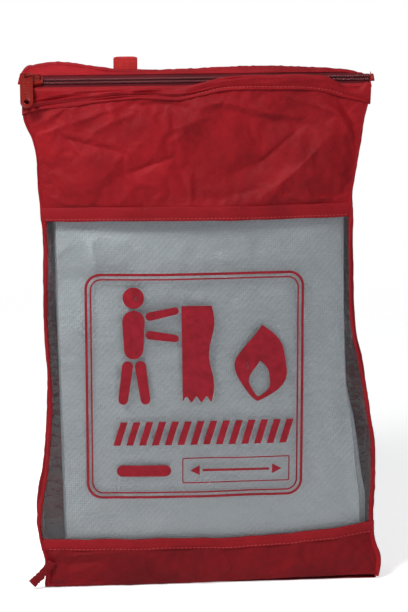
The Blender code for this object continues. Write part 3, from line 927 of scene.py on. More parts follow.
# %% The front ridge
def path_surface(stops, share):
    """A smooth path through a list of (y, z) arrays, read at shares of its length."""
    place = np.linspace(0.0, 1.0, len(stops))
    ys, zs = np.array([s[0] for s in stops]), np.array([s[1] for s in stops])
    slope_y, slope_z = np.gradient(ys, place, axis=0), np.gradient(zs, place, axis=0)
    i = np.clip((share * (len(stops) - 1)).astype(int), 0, len(stops) - 2)
    gap = place[1]
    t = np.clip(share / gap - i, 0.0, 1.0)
    column = np.arange(len(share))
    result = []
    for value, slope in ((ys, slope_y), (zs, slope_z)):
        slope_a, slope_b = slope[i, column] * gap, slope[i + 1, column] * gap
        result.append(cubic(value[i, column], value[i + 1, column], slope_a, slope_b, t))
    return result


STRIP_LEFT, STRIP_RIGHT = -0.1440, 0.1326
STRIP_EDGE = 0.0098  # how far from the chain's middle the cloth strips begin


def zip_stop(x, across, above, drop=0.0):
    """A stop of a path at a point of the zip's plane, the same for every x, but lower by drop."""
    y, z = zip_point(across, above)
    return np.full_like(x, y), np.full_like(x, z) - drop


def strip_x(across, y):
    """The top strips end on the gussets, which flare out to the back on the right."""
    right = STRIP_RIGHT + BACK_FLARE * np.sqrt(np.clip((y - FRONT_Y) / (BACK_Y - FRONT_Y), 0.0, 1.0))
    return STRIP_LEFT * (1 - across) + right * across


def front_strip_place(across, up):
    x = strip_x(across, FRONT_Y * up + zip_point(-STRIP_EDGE, 0.0)[0] * (1 - up))
    foot, top = smooth_line(RIDGE_FOOT, x), smooth_line(RIDGE_TOP, x)
    face = front_y(x, foot)
    wave = 0.0005 * smooth_noise(x, 0 * x, 0.018, 101)
    stops = [
        zip_stop(x, -0.0066, 0.0008),
        zip_stop(x, -STRIP_EDGE, 0.0010),
        (face + 0.0020, top - 0.0008 + wave),
        (face + 0.0004, top + wave),
        (face - 0.0012, top - 0.0016 + wave),
        (face - 0.0014, 0.5 * (top + foot) - 0.0006),
        (face - 0.0006, foot + 0.0006),
        (face - 0.0016, foot - 0.0012 - wave),
        (face - 0.0003, foot - 0.0024 - wave),
    ]
    y, z = path_surface(stops, up)
    low_part = 1.0 - ease(x, -0.015, 0.015)
    puff = np.sin(math.pi * np.clip((up - 0.15) / 0.7, 0.0, 1.0))
    ripple = smooth_noise(0.25 * x, 0.10 * up, 0.006, 102) * 0.0019 * puff * (0.35 + 0.65 * low_part)
    return x, y - ripple - 0.0007 * puff * low_part, z + 0.6 * ripple


front_strip = cloth_grid("zip_ridge_front", 200, 40, front_strip_place, (0.287, 0.024))
front_strip_nodes = ["top_gusset_front", "front_top_binding"]
finished(thicken(front_strip, 0.0005), "pouch", nylon, front_strip_nodes)


# %% The strip behind the zip
def corner_drop(x):
    """How far the cloth behind the zip falls towards the top right corner."""
    return 0.0042 * ease(x, 0.112, 0.132)


def back_strip_place(across, up):
    x = strip_x(across, BACK_Y * up + zip_point(STRIP_EDGE, 0.0)[0] * (1 - up))
    top = smooth_line(BACK_TOP, x)
    flat = np.zeros_like(x)
    stops = [
        zip_stop(x, 0.0084, 0.0006, corner_drop(x)),
        zip_stop(x, 0.0100, 0.0004, 1.2 * corner_drop(x)),
        (flat + 0.0076, np.minimum(top - 0.0040, zip_point(0.0110, -0.0008)[1])),
        (flat + 0.0122, np.minimum(np.maximum(top - 0.0078, zip_point(0.0110, 0.0)[1]), top - 0.0015)),
        (flat + BACK_Y - 0.0030, top - 0.0030),
        (flat + BACK_Y - 0.0010, top - 0.0012),
    ]
    y, z = path_surface(stops, up)
    ripple = 0.0022 * smooth_noise(0.35 * x, 0.045 * up, 0.010, 111) * np.sin(math.pi * up)
    return x, y, z + ripple + 0.0004 * smooth_noise(x, y, 0.006, 112) * np.sin(math.pi * up)


back_strip = cloth_grid("zip_strip_back", 180, 24, back_strip_place, (0.287, 0.024))
finished(thicken(back_strip, 0.0005), "pouch", nylon, ["top_gusset_back"])

# %% [markdown]
# ## Bound edges
# Every seam is bound with a strip of cloth folded over the raw edges. It is a soft cord with a flattened
# outline, which twists and swells along its length. The left front one twists the most.

# %% Bindings along the seams
FORWARD = np.array((0.0, -1.0, 0.0))


def bound_edge(name, line, size, seed, twist, nodes, steps=220, finish=binding_cloth, thin_from=None):
    """A soft flattened cord along line(share), which gives x, y and z; size is its width and thickness.

    Above the height thin_from it is nearly half as thick.
    """
    wide, thick = size

    def place(turn, share):
        x, y, z = line(share)
        step = 1e-3
        x1, y1, z1 = line(np.clip(share + step, 0, 1))
        x0, y0, z0 = line(np.clip(share - step, 0, 1))
        run = np.column_stack(np.broadcast_arrays(x1 - x0, y1 - y0, z1 - z0))
        run /= np.linalg.norm(run, axis=1)[:, None]
        out = FORWARD - run * (run @ FORWARD)[:, None]
        out /= np.linalg.norm(out, axis=1)[:, None]
        side = np.cross(run, out)
        a, b = flat_round(turn, 0.8)
        roll = twist * smooth_noise(40.0 * share, 0 * share, 4.0, seed) * 2.0
        swell = 1.0 + 0.12 * smooth_noise(160.0 * share + np.cos(turn), np.sin(turn), 1.6, seed + 1)
        if thin_from is not None:
            swell = swell * (1.0 - 0.45 * ease(z, thin_from - 0.006, thin_from + 0.006))
        a, b = 0.5 * wide * a * swell, 0.5 * thick * b * swell
        p, q = a * np.cos(roll) - b * np.sin(roll), a * np.sin(roll) + b * np.cos(roll)
        spot = np.column_stack(np.broadcast_arrays(x, y, z)) + side * p[:, None] + out * q[:, None]
        return spot.T

    piece = rolled(name, 14, steps, place, (0.012, 0.42))
    return finished(piece, "pouch", finish, nodes)


def side_line(side, y, top):
    def line(share):
        z = EDGE_FOOT + (top - EDGE_FOOT) * share
        wander = 0.0005 * smooth_noise(z, 0 * z, 0.03, 120 + side)
        return side_x(z, side, y) - side * 0.0012 + wander, y + 0.0 * z, z

    return line


EDGE_FOOT = FLOOR + 0.0025
THIN_FROM = float(top_hem_box[1].z)
# x where a side's front and back seams meet the top
SIDE_ENDS = {-1: (-0.1435, -0.1440), 1: (0.1320, 0.1370)}
for label, side, twist in (("left", -1, 1.0), ("right", 1, 0.5)):
    front_top = float(smooth_line(RIDGE_FOOT, SIDE_ENDS[side][0])) + 0.003
    back_top = float(smooth_line(BACK_TOP, SIDE_ENDS[side][1])) - 0.004
    for place, y, top, size, seed, turn in (
        ("front", FRONT_Y, front_top, (0.0044, 0.0028), 130, twist),
        ("back", BACK_Y, back_top, (0.0038, 0.0028), 135, 0.4),
    ):
        piece_name = "edge_%s_%s" % (place, label)
        nodes = ["%s_%s_binding" % (place, label)]
        line = side_line(side, y, top)
        bound_edge(piece_name, line, size, seed + side, turn, nodes, finish=nylon, thin_from=THIN_FROM)


def back_ridge(share):
    x = -0.1442 * (1 - share) + 0.1368 * share
    return x, BACK_Y + 0.0 * x, smooth_line(BACK_TOP, x) - 0.0024


def floor_edge(y):
    def line(share):
        x = LEFT_OUTLINE[0][1] * (1 - share) + (RIGHT_OUTLINE[0][1] - 0.001) * share
        lift = floor_lift(x) if y < 0.0 else 0.0
        return x, y + 0.0 * x, FLOOR + 0.0024 + lift + 0.0 * x

    return line


bound_edge("edge_back_top", back_ridge, (0.0056, 0.0042), 141, 0.25, ["back_top_binding"], 260)
# The bound edges along the floor get the darker taffeta: painted shade.
for place, y, seed in (("front", FRONT_Y, 151), ("back", BACK_Y, 161)):
    nodes = [place + "_bottom_binding"]
    bound_edge("edge_floor_" + place, floor_edge(y), (0.0036, 0.0030), seed, 0.3, nodes, finish=nylon_painted_shade)


def loose_end(share):
    x = -0.1262 - 0.0170 * share
    z = 0.0245 - 0.0190 * share**0.9
    return x, FRONT_Y - 0.0042 - 0.0010 * np.sin(3.0 * share), z


# The loose end gets the darker taffeta: painted shade.
bound_edge("edge_loose_end", loose_end, (0.0074, 0.0020), 171, 0.15, ["binding_tail"], 40, nylon_painted_shade)

# %% [markdown]
# ## The zip
# A coil zip is two springs of plastic filament, each sewn along the edge of a woven tape. The springs
# face each other and their loops are about a millimetre apart. Each spring is one long rolled grid that
# winds round its own axis, flattened towards the tape. A row of small stitches holds it down.

# %% Tapes
CHAIN_START, CHAIN_END = coil_box[0].x, coil_box[1].x
LOOP_PITCH = 0.0013
TAPE_EDGE, TAPE_INNER = 0.0096, 0.0008
TAPE_ENDS = (-0.1432, 0.1345)


def in_zip(points):
    """Points from the zip's own plane, as x, across and above, to the world."""
    return points @ np.array(ZIP_FRAME.to_3x3()).T + np.array(ZIP_FRAME.translation)


def zip_tape(name, side, node_name):
    def place(across, along):
        x = TAPE_ENDS[0] * (1 - along) + TAPE_ENDS[1] * along
        over = side * (TAPE_INNER * (1 - across) + TAPE_EDGE * across)
        above = 0.0002 * smooth_noise(x, over, 0.012, 181) * across
        if side > 0:
            above = above - corner_drop(x) * across**5
        return in_zip(np.column_stack((x, over, above))).T

    piece = cloth_grid(name, 10, 240, place, (0.009, 0.283))
    return finished(thicken(piece, 0.0005), "pouch", tape_cloth, [node_name])


zip_tape("tape_front", -1, "zip_tape_front")
zip_tape("tape_back", 1, "zip_tape_back")


# %% Coils
WIRE_R, COIL_ACROSS, COIL_ABOVE = 0.00033, 0.00112, 0.00068  # the filament, and a loop's two half sizes
COIL_MIDDLE, COIL_RISE, COIL_END = 0.0019, 0.00130, 0.0006  # from the chain's middle, tape and ends


def zip_coil(name, side, node_name):
    turns = int((CHAIN_END - CHAIN_START) / LOOP_PITCH)

    def place(turn, along):
        angle = 2.0 * math.pi * turns * along
        x = CHAIN_START + COIL_END + (CHAIN_END - CHAIN_START - 2.0 * COIL_END) * along
        over, up = flat_round(angle, 0.75)
        out_a, out_b = np.cos(angle) / COIL_ACROSS, np.sin(angle) / COIL_ABOVE
        size = np.hypot(out_a, out_b)
        out_a, out_b = out_a / size, out_b / size
        ring_x, ring_out = WIRE_R * np.sin(turn), WIRE_R * np.cos(turn)
        across = side * (COIL_MIDDLE + COIL_ACROSS * over * 0.78 + ring_out * out_a)
        above = COIL_RISE + COIL_ABOVE * up * 0.85 + ring_out * out_b
        return in_zip(np.column_stack((x + ring_x, across, above))).T

    piece = rolled(name, 5, turns * 12, place, (0.002, 0.6))
    return finished(piece, "pouch", coil_filament, [node_name], 80.0)


zip_coil("coil_front", -1, "zip_coil_front")
zip_coil("coil_back", 1, "zip_coil_back")

# %% [markdown]
# ## Stops, slider and pull
# These are small castings with painted, softened edges. Their shapes in the frame are right, so each
# piece starts as a copy of the frame's mesh. The copy's loose triangles are merged into flat faces, and
# a narrow bevel rounds every sharp edge. The pull also has a raised rim, ribs for the grip and a ring
# round its hole, which are modelled on it.


# %% A copy of a frame piece with rounded edges
CAST_SMOOTH = 35.0


def merge_flat_faces():
    bpy.ops.mesh.dissolve_limited(angle_limit=math.radians(2.0))


def rounded_copy(name, node_name, width, segments=2):
    piece = bpy.data.objects.new(name, frame["nodes"][node_name].data.copy())
    bpy.context.scene.collection.objects.link(piece)
    edited(piece, weld, merge_flat_faces)
    edge = piece.modifiers.new("soft_edges", "BEVEL")
    edge.width = width
    edge.segments = segments
    edge.limit_method = "ANGLE"
    edge.angle_limit = math.radians(28.0)
    return apply_all(piece)


for stop in ("zip_top_stop_front", "zip_top_stop_back", "zip_bottom_stop"):
    cast = rounded_copy(stop + "_cast", stop, 0.00015)
    finished(cast, "pouch", enamel, [stop], CAST_SMOOTH)
slider = rounded_copy("slider_cast", "slider_body", 0.00022)
finished(slider, "slider", enamel, ["slider_body"], CAST_SMOOTH)

# %% Curves through points, made a mesh
def arc(centre, radius, start, sweep, count):
    """Points of an arc, from the angle start on, in radians."""
    turn = [start + sweep * k / count for k in range(count + 1)]
    return [(centre[0] + radius * math.cos(a), centre[1] + radius * math.sin(a)) for a in turn]


def closed_line(curve, spots):
    """Add a closed line through (x, y, z) places to a curve."""
    spline = curve.splines.new("POLY")
    spline.points.add(len(spots) - 1)
    for point, spot in zip(spline.points, spots):
        point.co = (*spot, 1.0)
    spline.use_cyclic_u = True


def mesh_of(name, curve):
    drawn = bpy.data.objects.new(name, curve)
    bpy.context.scene.collection.objects.link(drawn)
    only(drawn)
    bpy.ops.object.convert(target="MESH")
    return bpy.context.object


def joined(pieces):
    """Join pieces into the last one."""
    deselect()
    for piece in pieces:
        piece.select_set(True)
    bpy.context.view_layer.objects.active = pieces[-1]
    bpy.ops.object.join()
    return bpy.context.object


print("corner of a 2 mm arc:", [round(c / MM, 2) for c in arc((0.0, 0.0), 0.002, 0.0, 0.5 * math.pi, 2)[1]])

# %% The pull
PULL_THICK, PULL_HALF, PULL_LENGTH = 0.0013, 0.0052, 0.0290
PULL_HEAD, PULL_CORNER = 0.0036, 0.0020  # how far it reaches above its pin, and its corners' radius
HOLE_R, HOLE_PLACE = 0.0021, PULL_HALF - PULL_LENGTH
RIM_INSET, RIM_R, RING_R = 0.00055, 0.00042, 0.00038
RIBS, RIB_R, RIB_LONG, RIB_FIRST, RIB_PITCH = 5, 0.00036, 0.0052, -0.0062, 0.0022
pull_joint = joint["pull_swing"]
swing_axis = Vector(pull_joint["axis"])
pull_turn = Matrix.Rotation(math.atan2(swing_axis.y, -swing_axis.z), 4, "X")
PULL_FRAME = Matrix.Translation(pull_joint["pos_m"]) @ pull_turn


def grip_rim(height):
    """A rounded bead that follows the pull's outline, a little inside it."""
    half = PULL_HALF - RIM_INSET
    bend = PULL_CORNER - 0.5 * RIM_INSET
    corner_x, corner_y = half - bend, PULL_HEAD - PULL_CORNER - RIM_INSET
    spots = arc((0.0, HOLE_PLACE), half, math.pi, math.pi, 14)
    spots += arc((corner_x, corner_y), bend, 0.0, 0.5 * math.pi, 5)
    spots += arc((-corner_x, corner_y), bend, 0.5 * math.pi, 0.5 * math.pi, 5)
    curve = bpy.data.curves.new("rim", "CURVE")
    curve.dimensions = "3D"
    curve.bevel_depth = RIM_R
    curve.bevel_resolution = 2
    closed_line(curve, [(x, y, height) for x, y in spots])
    return mesh_of("rim", curve)


def hole_ring(height):
    deselect()
    bpy.ops.mesh.primitive_torus_add(
        major_radius=HOLE_R + 0.0005,
        minor_radius=RING_R,
        major_segments=28,
        minor_segments=8,
        location=(0.0, HOLE_PLACE, height),
    )
    return bpy.context.object


def grip_rib(place, height):
    deselect()
    bpy.ops.mesh.primitive_cylinder_add(
        vertices=10,
        radius=RIB_R,
        depth=RIB_LONG,
        location=(0.0, place, height),
        rotation=(0.0, 0.5 * math.pi, 0.0),
    )
    rib = bpy.context.object
    ends = rib.modifiers.new("ends", "BEVEL")
    ends.width = 0.00028
    ends.segments = 2
    return apply_all(rib)


details = []
for height in (-0.5 * PULL_THICK, 0.5 * PULL_THICK):
    details += [grip_rim(height), hole_ring(height)]
    details += [grip_rib(RIB_FIRST - RIB_PITCH * k, height) for k in range(RIBS)]
trim = joined(details[::-1])
bpy.ops.object.transform_apply(location=True, rotation=True, scale=True)
trim.data.transform(PULL_FRAME)
pull = joined([trim, rounded_copy("pull_cast", "pull_tab", 0.00030, 3)])
finished(pull, "pull", enamel, ["pull_tab"], CAST_SMOOTH)

# %% [markdown]
# ## The hang loop
# The loop is ribbed webbing, folded in two and sewn to the back. Its short end lies flat against the
# cloth, and the ring above it swings up on the line of stitches.


# %% Webbing
WEBBING_THICK, WEBBING_FLAT, WEBBING_EDGE = 0.0013, (0.040, 0.070), 0.35
BASE_HALF_THICK, BASE_FLAT = 0.00062, (0.040, 0.029)


def webbing_ring(turn, share):
    """A strip of webbing bent into a long ring: turn goes round the ring's wall, share round the ring."""
    wide = loop_box[1].x - loop_box[0].x
    deep, tall = 0.5 * (loop_box[1].y - loop_box[0].y), 0.5 * (loop_box[1].z - loop_box[0].z)
    centre_y = 0.5 * (loop_box[0].y + loop_box[1].y)
    centre_z = 0.5 * (loop_box[0].z + loop_box[1].z)
    over, out = flat_round(turn, WEBBING_EDGE)
    x = 0.5 * (loop_box[0].x + loop_box[1].x) + 0.5 * wide * over * (1.0 - 0.03 * np.abs(out))
    angle = 2.0 * math.pi * share
    round_y, round_z = np.cos(angle), flat_round(angle, 0.45)[1]
    normal_y, normal_z = np.cos(angle), 0.35 * np.sin(angle)
    length = np.hypot(normal_y, normal_z)
    shift = 0.5 * WEBBING_THICK * (out - 1.0)
    y = centre_y + deep * np.sign(round_y) * np.abs(round_y) ** 0.8 + shift * normal_y / length
    return x, y, centre_z + tall * round_z * (1.0 - 0.04 * np.abs(over) ** 6) + shift * normal_z / length


def ring_grid(across, up):
    return webbing_ring(2.0 * math.pi * across, up)


ring = edited(cloth_grid("hang_loop_webbing", 36, 90, ring_grid, WEBBING_FLAT), weld, face_outwards)
finished(ring, "loop", webbing_cloth, ["hang_loop"])


def base_place(turn, share):
    over, out = flat_round(turn, WEBBING_EDGE)
    x = 0.5 * (loop_base_box[0].x + loop_base_box[1].x)
    x = x + 0.5 * (loop_base_box[1].x - loop_base_box[0].x) * over
    y = 0.5 * (loop_base_box[0].y + loop_base_box[1].y) + BASE_HALF_THICK * out
    z = loop_base_box[0].z * (1 - share) + loop_base_box[1].z * share
    return x, y + 0.0 * z, z + 0.0003 * np.abs(over) ** 6


loop_base = rolled("hang_loop_sewn_end", 36, 40, base_place, BASE_FLAT)
finished(loop_base, "pouch", webbing_cloth, ["hang_loop_base"])

# %% [markdown]
# ## The blanket
# The blanket is one sheet of woven glass, 1 m by 2 m. It is folded in four across its width and in six
# along its length, and it is made that way here: one grid runs through every fold. Two snaking lines
# place it. One gives the four pleats, from left to right and back. The other gives the six layers of
# the stack, from bottom to top and back, and the pleats follow along its normal.

# %% The folded sheet
BLANKET_FLAT = (1.0, 2.0)
PLEATS, STACK = 4, 6
PLEAT_PITCH, STACK_PITCH = 0.00090, 0.00520


def run_and_turn(length, runs, pitch):
    """The length of one straight run and of one bend in a folded line."""
    turn_length = 0.5 * math.pi * pitch
    return (length - (runs - 1) * turn_length) / runs, turn_length


def snake(length, runs, pitch, s):
    """A line of a given length folded into straight runs: place along, place across, and direction."""
    straight, turn_length = run_and_turn(length, runs, pitch)
    cycle = straight + turn_length
    k = np.minimum((s / cycle).astype(int), runs - 1)
    t = s - k * cycle
    way = np.where(k % 2 == 0, 1.0, -1.0)
    angle = np.clip((t - straight) / turn_length, 0.0, 1.0) * math.pi
    along = way * (np.minimum(t, straight) - 0.5 * straight + 0.5 * pitch * np.sin(angle))
    across = k * pitch + 0.5 * pitch * (1.0 - np.cos(angle)) - 0.5 * (runs - 1) * pitch
    return along, across, way * np.cos(angle), np.sin(angle)


def snake_stations(length, runs, pitch, in_run, in_turn):
    """Places along the sheet for the grid's lines, close together in the bends."""
    straight, turn_length = run_and_turn(length, runs, pitch)
    stations, start = [], 0.0
    for k in range(runs):
        stations += [start + straight * i / in_run for i in range(in_run)]
        start += straight
        if k < runs - 1:
            stations += [start + turn_length * i / in_turn for i in range(in_turn)]
            start += turn_length
    return np.array(stations + [length])


across_stations = snake_stations(BLANKET_FLAT[0], PLEATS, PLEAT_PITCH, 16, 4)
along_stations = snake_stations(BLANKET_FLAT[1], STACK, STACK_PITCH, 24, 8)
BLANKET_X = 0.5 * (blanket_box[0].x + blanket_box[1].x)
BLANKET_LOW = blanket_box[0].z + 0.0004
STACK_TOP = 0.335  # the height that the folded stack reaches
GUSSET_SQUEEZE = 0.945  # the narrow waist presses the pleats together
HALF_WIDE = 0.5 * GUSSET_SQUEEZE * BLANKET_FLAT[0] / PLEATS
SIDE_GAP = 0.0058  # kept between the pleats and the right gusset
TOP_THINNING = 0.0056  # the stack is thinner towards its folded top
LEFT_LEAN = 0.0070  # the left edge leans in towards the floor
SWELL_SHARE = 0.0078 / 0.0095  # how much of the front's swell the stack takes
LIFT = joint["blanket_lift"]["range_m"][1]  # the blanket has to clear the narrower top when it is lifted
LIFT_STEPS = 4


def blanket_place(across, up):
    s = np.interp(across, np.linspace(0, 1, len(across_stations)), across_stations)
    r = np.interp(up, np.linspace(0, 1, len(along_stations)), along_stations)
    x, pleat, _, _ = snake(BLANKET_FLAT[0], PLEATS, PLEAT_PITCH, s)
    z, layer, run_z, run_y = snake(BLANKET_FLAT[1], STACK, STACK_PITCH, r)
    # the pleats lie along the stack's normal, which turns over in each bend
    y = layer - pleat * run_z
    z = z + pleat * run_y
    z = z - z.min() + BLANKET_LOW
    x = x * GUSSET_SQUEEZE
    depth = np.clip((0.5 * (STACK - 1) * STACK_PITCH - layer) / ((STACK - 1) * STACK_PITCH), 0.0, 1.0)
    number = np.round(depth * (STACK - 1))
    # low down the layers fan out to the right: the middle ones the most, the front one the least
    low_part = ease(1.0 - ease(z, 0.105, 0.235), 0.0, 0.3)
    behind = np.where((number > 1.5) & (number < 4.5), 1.0, np.where(number > 4.5, 0.25, 0.5))
    right = ease(x, 0.02, 0.12)
    left = ease(-x, 0.02, 0.12)
    lifted = [smooth_line(RIGHT_OUTLINE, z + LIFT * k / LIFT_STEPS) for k in range(LIFT_STEPS + 1)]
    narrowest = np.min(lifted, axis=0)
    room = narrowest - SIDE_GAP - BLANKET_X - HALF_WIDE
    fan = np.maximum(room, 0.0) * (0.70 + 0.30 * behind) * low_part
    x = x + BLANKET_X + right * (fan + np.minimum(room, 0.0))
    x = x + left * LEFT_LEAN * (1.0 - z / STACK_TOP)
    x = x + 0.0012 * smooth_noise(number, 0 * x, 1.3, 191) * (right - left)
    bulge = SWELL_SHARE * np.minimum(smooth_line(SWELL, z), smooth_line(SWELL, z + LIFT))
    bulge = bulge * np.clip(1.0 - ((x - BLANKET_X) / 0.128) ** 2, 0.0, 1.0) ** 0.6
    y = y - bulge * depth**1.4 + TOP_THINNING * ease(z, STACK_TOP - 0.085, STACK_TOP) * depth
    y = y - depth * (0.0010 * smooth_noise(x, z, 0.050, 192) + 0.0003 * smooth_noise(x, z, 0.015, 193))
    return x, y, z


columns, rows = len(across_stations) - 1, len(along_stations) - 1
blanket = cloth_grid("glass_cloth_blanket", columns, rows, blanket_place, BLANKET_FLAT)
spots = points_of(blanket)
print("blanket from", spots.min(0).round(4), "to", spots.max(0).round(4))
thicken(blanket, 0.0005)
finished(blanket, "blanket", glass_weave, ["fire_blanket"])

# %% [markdown]
# ## The print on the window
# Ink lies on the vinyl as a very thin skin. The design is a plain safety picture: a double border, a
# person in cut-out stencil shapes who holds up a sheet, a flame, a striped band and an empty size box
# with an arrow. The shapes are drawn flat as closed curves, which Blender fills. The flat mesh is then
# cut into small cells, so that it can follow every ripple of the vinyl.


# %% Outlines of the print
ARC_STEPS = 8


def limb(start, end, radius_start, radius_end):
    """A bar with round ends between two points."""
    run = Vector(end) - Vector(start)
    facing = math.atan2(run.y, run.x)
    outline = arc(start, radius_start, facing + 0.5 * math.pi, math.pi, ARC_STEPS)
    return outline + arc(end, radius_end, facing - 0.5 * math.pi, math.pi, ARC_STEPS)


def rounded_box(low, high, radius, steps=ARC_STEPS):
    left, right = low[0] + radius, high[0] - radius
    foot, top = low[1] + radius, high[1] - radius
    outline = []
    for k, corner in enumerate(((right, top), (left, top), (left, foot), (right, foot))):
        outline += arc(corner, radius, 0.5 * math.pi * k, 0.5 * math.pi, steps)
    return outline


def border(low, high, radius, line):
    """A rounded frame drawn as a line: its outer and its inner outline."""
    inner_low, inner_high = (low[0] + line, low[1] + line), (high[0] - line, high[1] - line)
    return [rounded_box(low, high, radius), rounded_box(inner_low, inner_high, radius - line)]


def flame(foot, tall, wide, count=40):
    """A drop with a tip that leans over: one side is fuller than the other."""
    outline = []
    for k in range(count):
        a = 2.0 * math.pi * k / count
        up = 0.5 * (1.0 - math.cos(a))
        body = math.sin(a) * (1.0 - up) ** 0.55 * up**0.35 * 1.75
        lean = 0.10 * math.sin(2.6 * up) + 0.05 * math.sin(9.0 * up)
        outline.append((foot[0] + wide * (0.5 * body + lean), foot[1] + tall * up))
    return outline


def hung_sheet(low, high, waves=3, count=30):
    """A cloth held by its top edge, with a wavy foot and one wavy side."""
    outline = [(low[0], high[1]), (low[0] + 0.001, low[1] + 0.004)]
    for k in range(1, count):
        share = k / count
        drop = 0.0024 * math.cos(2.0 * math.pi * waves * share)
        outline.append((low[0] + (high[0] - low[0]) * share, low[1] + 0.0026 - drop))
    for k in range(count + 1):
        share = k / count
        push = 0.0022 * math.sin(2.0 * math.pi * 1.5 * share)
        outline.append((high[0] + push, low[1] + (high[1] - low[1]) * share))
    return outline


print("points in a bar with round ends:", len(limb((0.0, 0.0), (0.02, 0.0), 0.004, 0.004)))

# %% The design
PRINT_LOW, PRINT_HIGH = (-0.0960, 0.0745), (0.0855, 0.2640)
LINE, LINE_GAP = 0.0021, 0.0043
PERSON_X, SHOULDER_X, HAND_X = -0.0560, -0.0425, -0.0215
LIMBS = (  # from, to, and the radius at either end: body, two legs and two arms
    ((PERSON_X, 0.2245), (PERSON_X, 0.2010), 0.0092, 0.0080),
    ((-0.0612, 0.1870), (-0.0650, 0.1590), 0.0046, 0.0040),
    ((-0.0505, 0.1870), (-0.0465, 0.1590), 0.0046, 0.0040),
    ((SHOULDER_X, 0.2285), (HAND_X, 0.2330), 0.0036, 0.0030),
    ((SHOULDER_X, 0.2130), (HAND_X, 0.2100), 0.0036, 0.0030),
)
BAND_LOW, BAND_HIGH, STRIPES, STRIPE_PITCH = 0.1200, 0.1400, 14, 0.0107
STRIPE_FIRST, STRIPE_WIDE, STRIPE_SLANT = -0.0735, 0.0058, 0.0062
SIZE_ROW = 0.0980  # the height of the bar and of the arrow
ARROW_X, ARROW_HALF, HEAD_LONG, HEAD_HALF = 0.0292, 0.0385, 0.0080, 0.0042

inner_low = (PRINT_LOW[0] + LINE_GAP, PRINT_LOW[1] + LINE_GAP)
inner_high = (PRINT_HIGH[0] - LINE_GAP, PRINT_HIGH[1] - LINE_GAP)
loops = border(PRINT_LOW, PRINT_HIGH, 0.0130, LINE) + border(inner_low, inner_high, 0.0095, 0.6 * LINE)
loops.append(arc((PERSON_X, 0.2440), 0.0088, 0.0, 2.0 * math.pi, 4 * ARC_STEPS)[:-1])
loops += [limb(*each) for each in LIMBS]
loops.append(hung_sheet((-0.0165, 0.1560), (0.0085, 0.2370)))
loops.append(flame((0.0470, 0.1560), 0.0640, 0.0460))
loops.append(flame((0.0475, 0.1600), 0.0300, 0.0190))
for k in range(STRIPES):
    x = STRIPE_FIRST + STRIPE_PITCH * k
    foot = [(x, BAND_LOW), (x + STRIPE_WIDE, BAND_LOW)]
    loops.append(foot + [(x + STRIPE_WIDE + STRIPE_SLANT, BAND_HIGH), (x + STRIPE_SLANT, BAND_HIGH)])
loops.append(limb((-0.0660, SIZE_ROW), (-0.0300, SIZE_ROW), 0.0048, 0.0048))
loops += border((-0.0160, 0.0870), (0.0745, 0.1090), 0.0016, 0.0010)
for side in (-1, 1):
    tip = ARROW_X + side * ARROW_HALF
    neck = tip - side * HEAD_LONG
    loops.append([(tip, SIZE_ROW), (neck, SIZE_ROW + HEAD_HALF), (neck, SIZE_ROW - HEAD_HALF)][::side])
loops.append(rounded_box((0.0010, 0.0970), (0.0574, 0.0990), 0.0009, 3))
print("outlines in the print:", len(loops))

# %% Fill, cut into cells and lay on the vinyl
INK_CELL, INK, INK_GAP = 0.0040, 0.00012, 0.00015
PRINT_STRETCH, PRINT_SHIFT = (0.979, 1.009), (-0.0028, 0.0037)
drawing = bpy.data.curves.new("print", "CURVE")
drawing.dimensions = "2D"
drawing.fill_mode = "FRONT"
for loop in loops:
    closed_line(drawing, [(x, z, 0.0) for x, z in loop])
print_piece = mesh_of("window_print", drawing)
bpy.ops.object.mode_set(mode="EDIT")
for axis, first, last in ((0, PRINT_LOW[0], PRINT_HIGH[0]), (1, PRINT_LOW[1], PRINT_HIGH[1])):
    for k in range(1, int((last - first) / INK_CELL)):
        spot, facing = [0.0, 0.0, 0.0], [0.0, 0.0, 0.0]
        spot[axis], facing[axis] = first + k * INK_CELL, 1.0
        bpy.ops.mesh.select_all(action="SELECT")
        bpy.ops.mesh.bisect(plane_co=spot, plane_no=facing, threshold=1e-7)
edited(print_piece, weld)
flat = points_of(print_piece)
x, z = (flat[:, axis] * PRINT_STRETCH[axis] + PRINT_SHIFT[axis] for axis in (0, 1))
move_points(print_piece, np.column_stack((x, film_y(x, z) - INK_GAP - 0.5 * INK, z)))
edited(print_piece, face_outwards)
thicken(print_piece, INK)
finished(print_piece, "pouch", ink)

# %% [markdown]
# ## Stitches
# One stitch is a small sphere pulled long. It is made once, and each row repeats its points along a
# seam, a little uneven in length and in direction, as a sewing machine leaves them.

# %% Rows of thread
deselect()
bpy.ops.mesh.primitive_uv_sphere_add(segments=7, ring_count=5, radius=1.0)
stitch = bpy.context.object
STITCH_POINTS = points_of(stitch)
STITCH_FACES = [tuple(face.vertices) for face in stitch.data.polygons]
bpy.data.objects.remove(stitch, do_unlink=True)
THREAD_R, THREAD_SMOOTH = 0.00030, 80.0
COIL_THREAD_R, COIL_THREAD_HALF, COIL_THREAD_PITCH = 0.00032, 0.00065, 0.00195
COIL_CREST = 0.00202  # the height of the coil's outer side above the tape
# The coil thread is paler than the coils, so its rows of dots also stand in for the highlights along the
# coils' crests: real stitches with a painted highlight.
coil_thread_and_highlight = woven("coil_thread_and_highlight", (0.28, 0.060, 0.065), (0.52, 0.17, 0.17), 0.0004, 0.5, 0.1, 0.00004)
pale_thread = woven("pale_thread", (0.60, 0.22, 0.22), (0.85, 0.45, 0.44), 0.0004, 0.5, 0.2, 0.00004)


def thread_piece(name, points):
    """One mesh from the stacked points of many stitches."""
    size = len(STITCH_POINTS)
    faces = [tuple(v + k for v in face) for k in range(0, len(points), size) for face in STITCH_FACES]
    mesh = bpy.data.meshes.new(name)
    mesh.from_pydata(points.tolist(), [], faces)
    mesh.uv_layers.new(name="UVMap")
    piece = bpy.data.objects.new(name, mesh)
    bpy.context.scene.collection.objects.link(piece)
    return piece


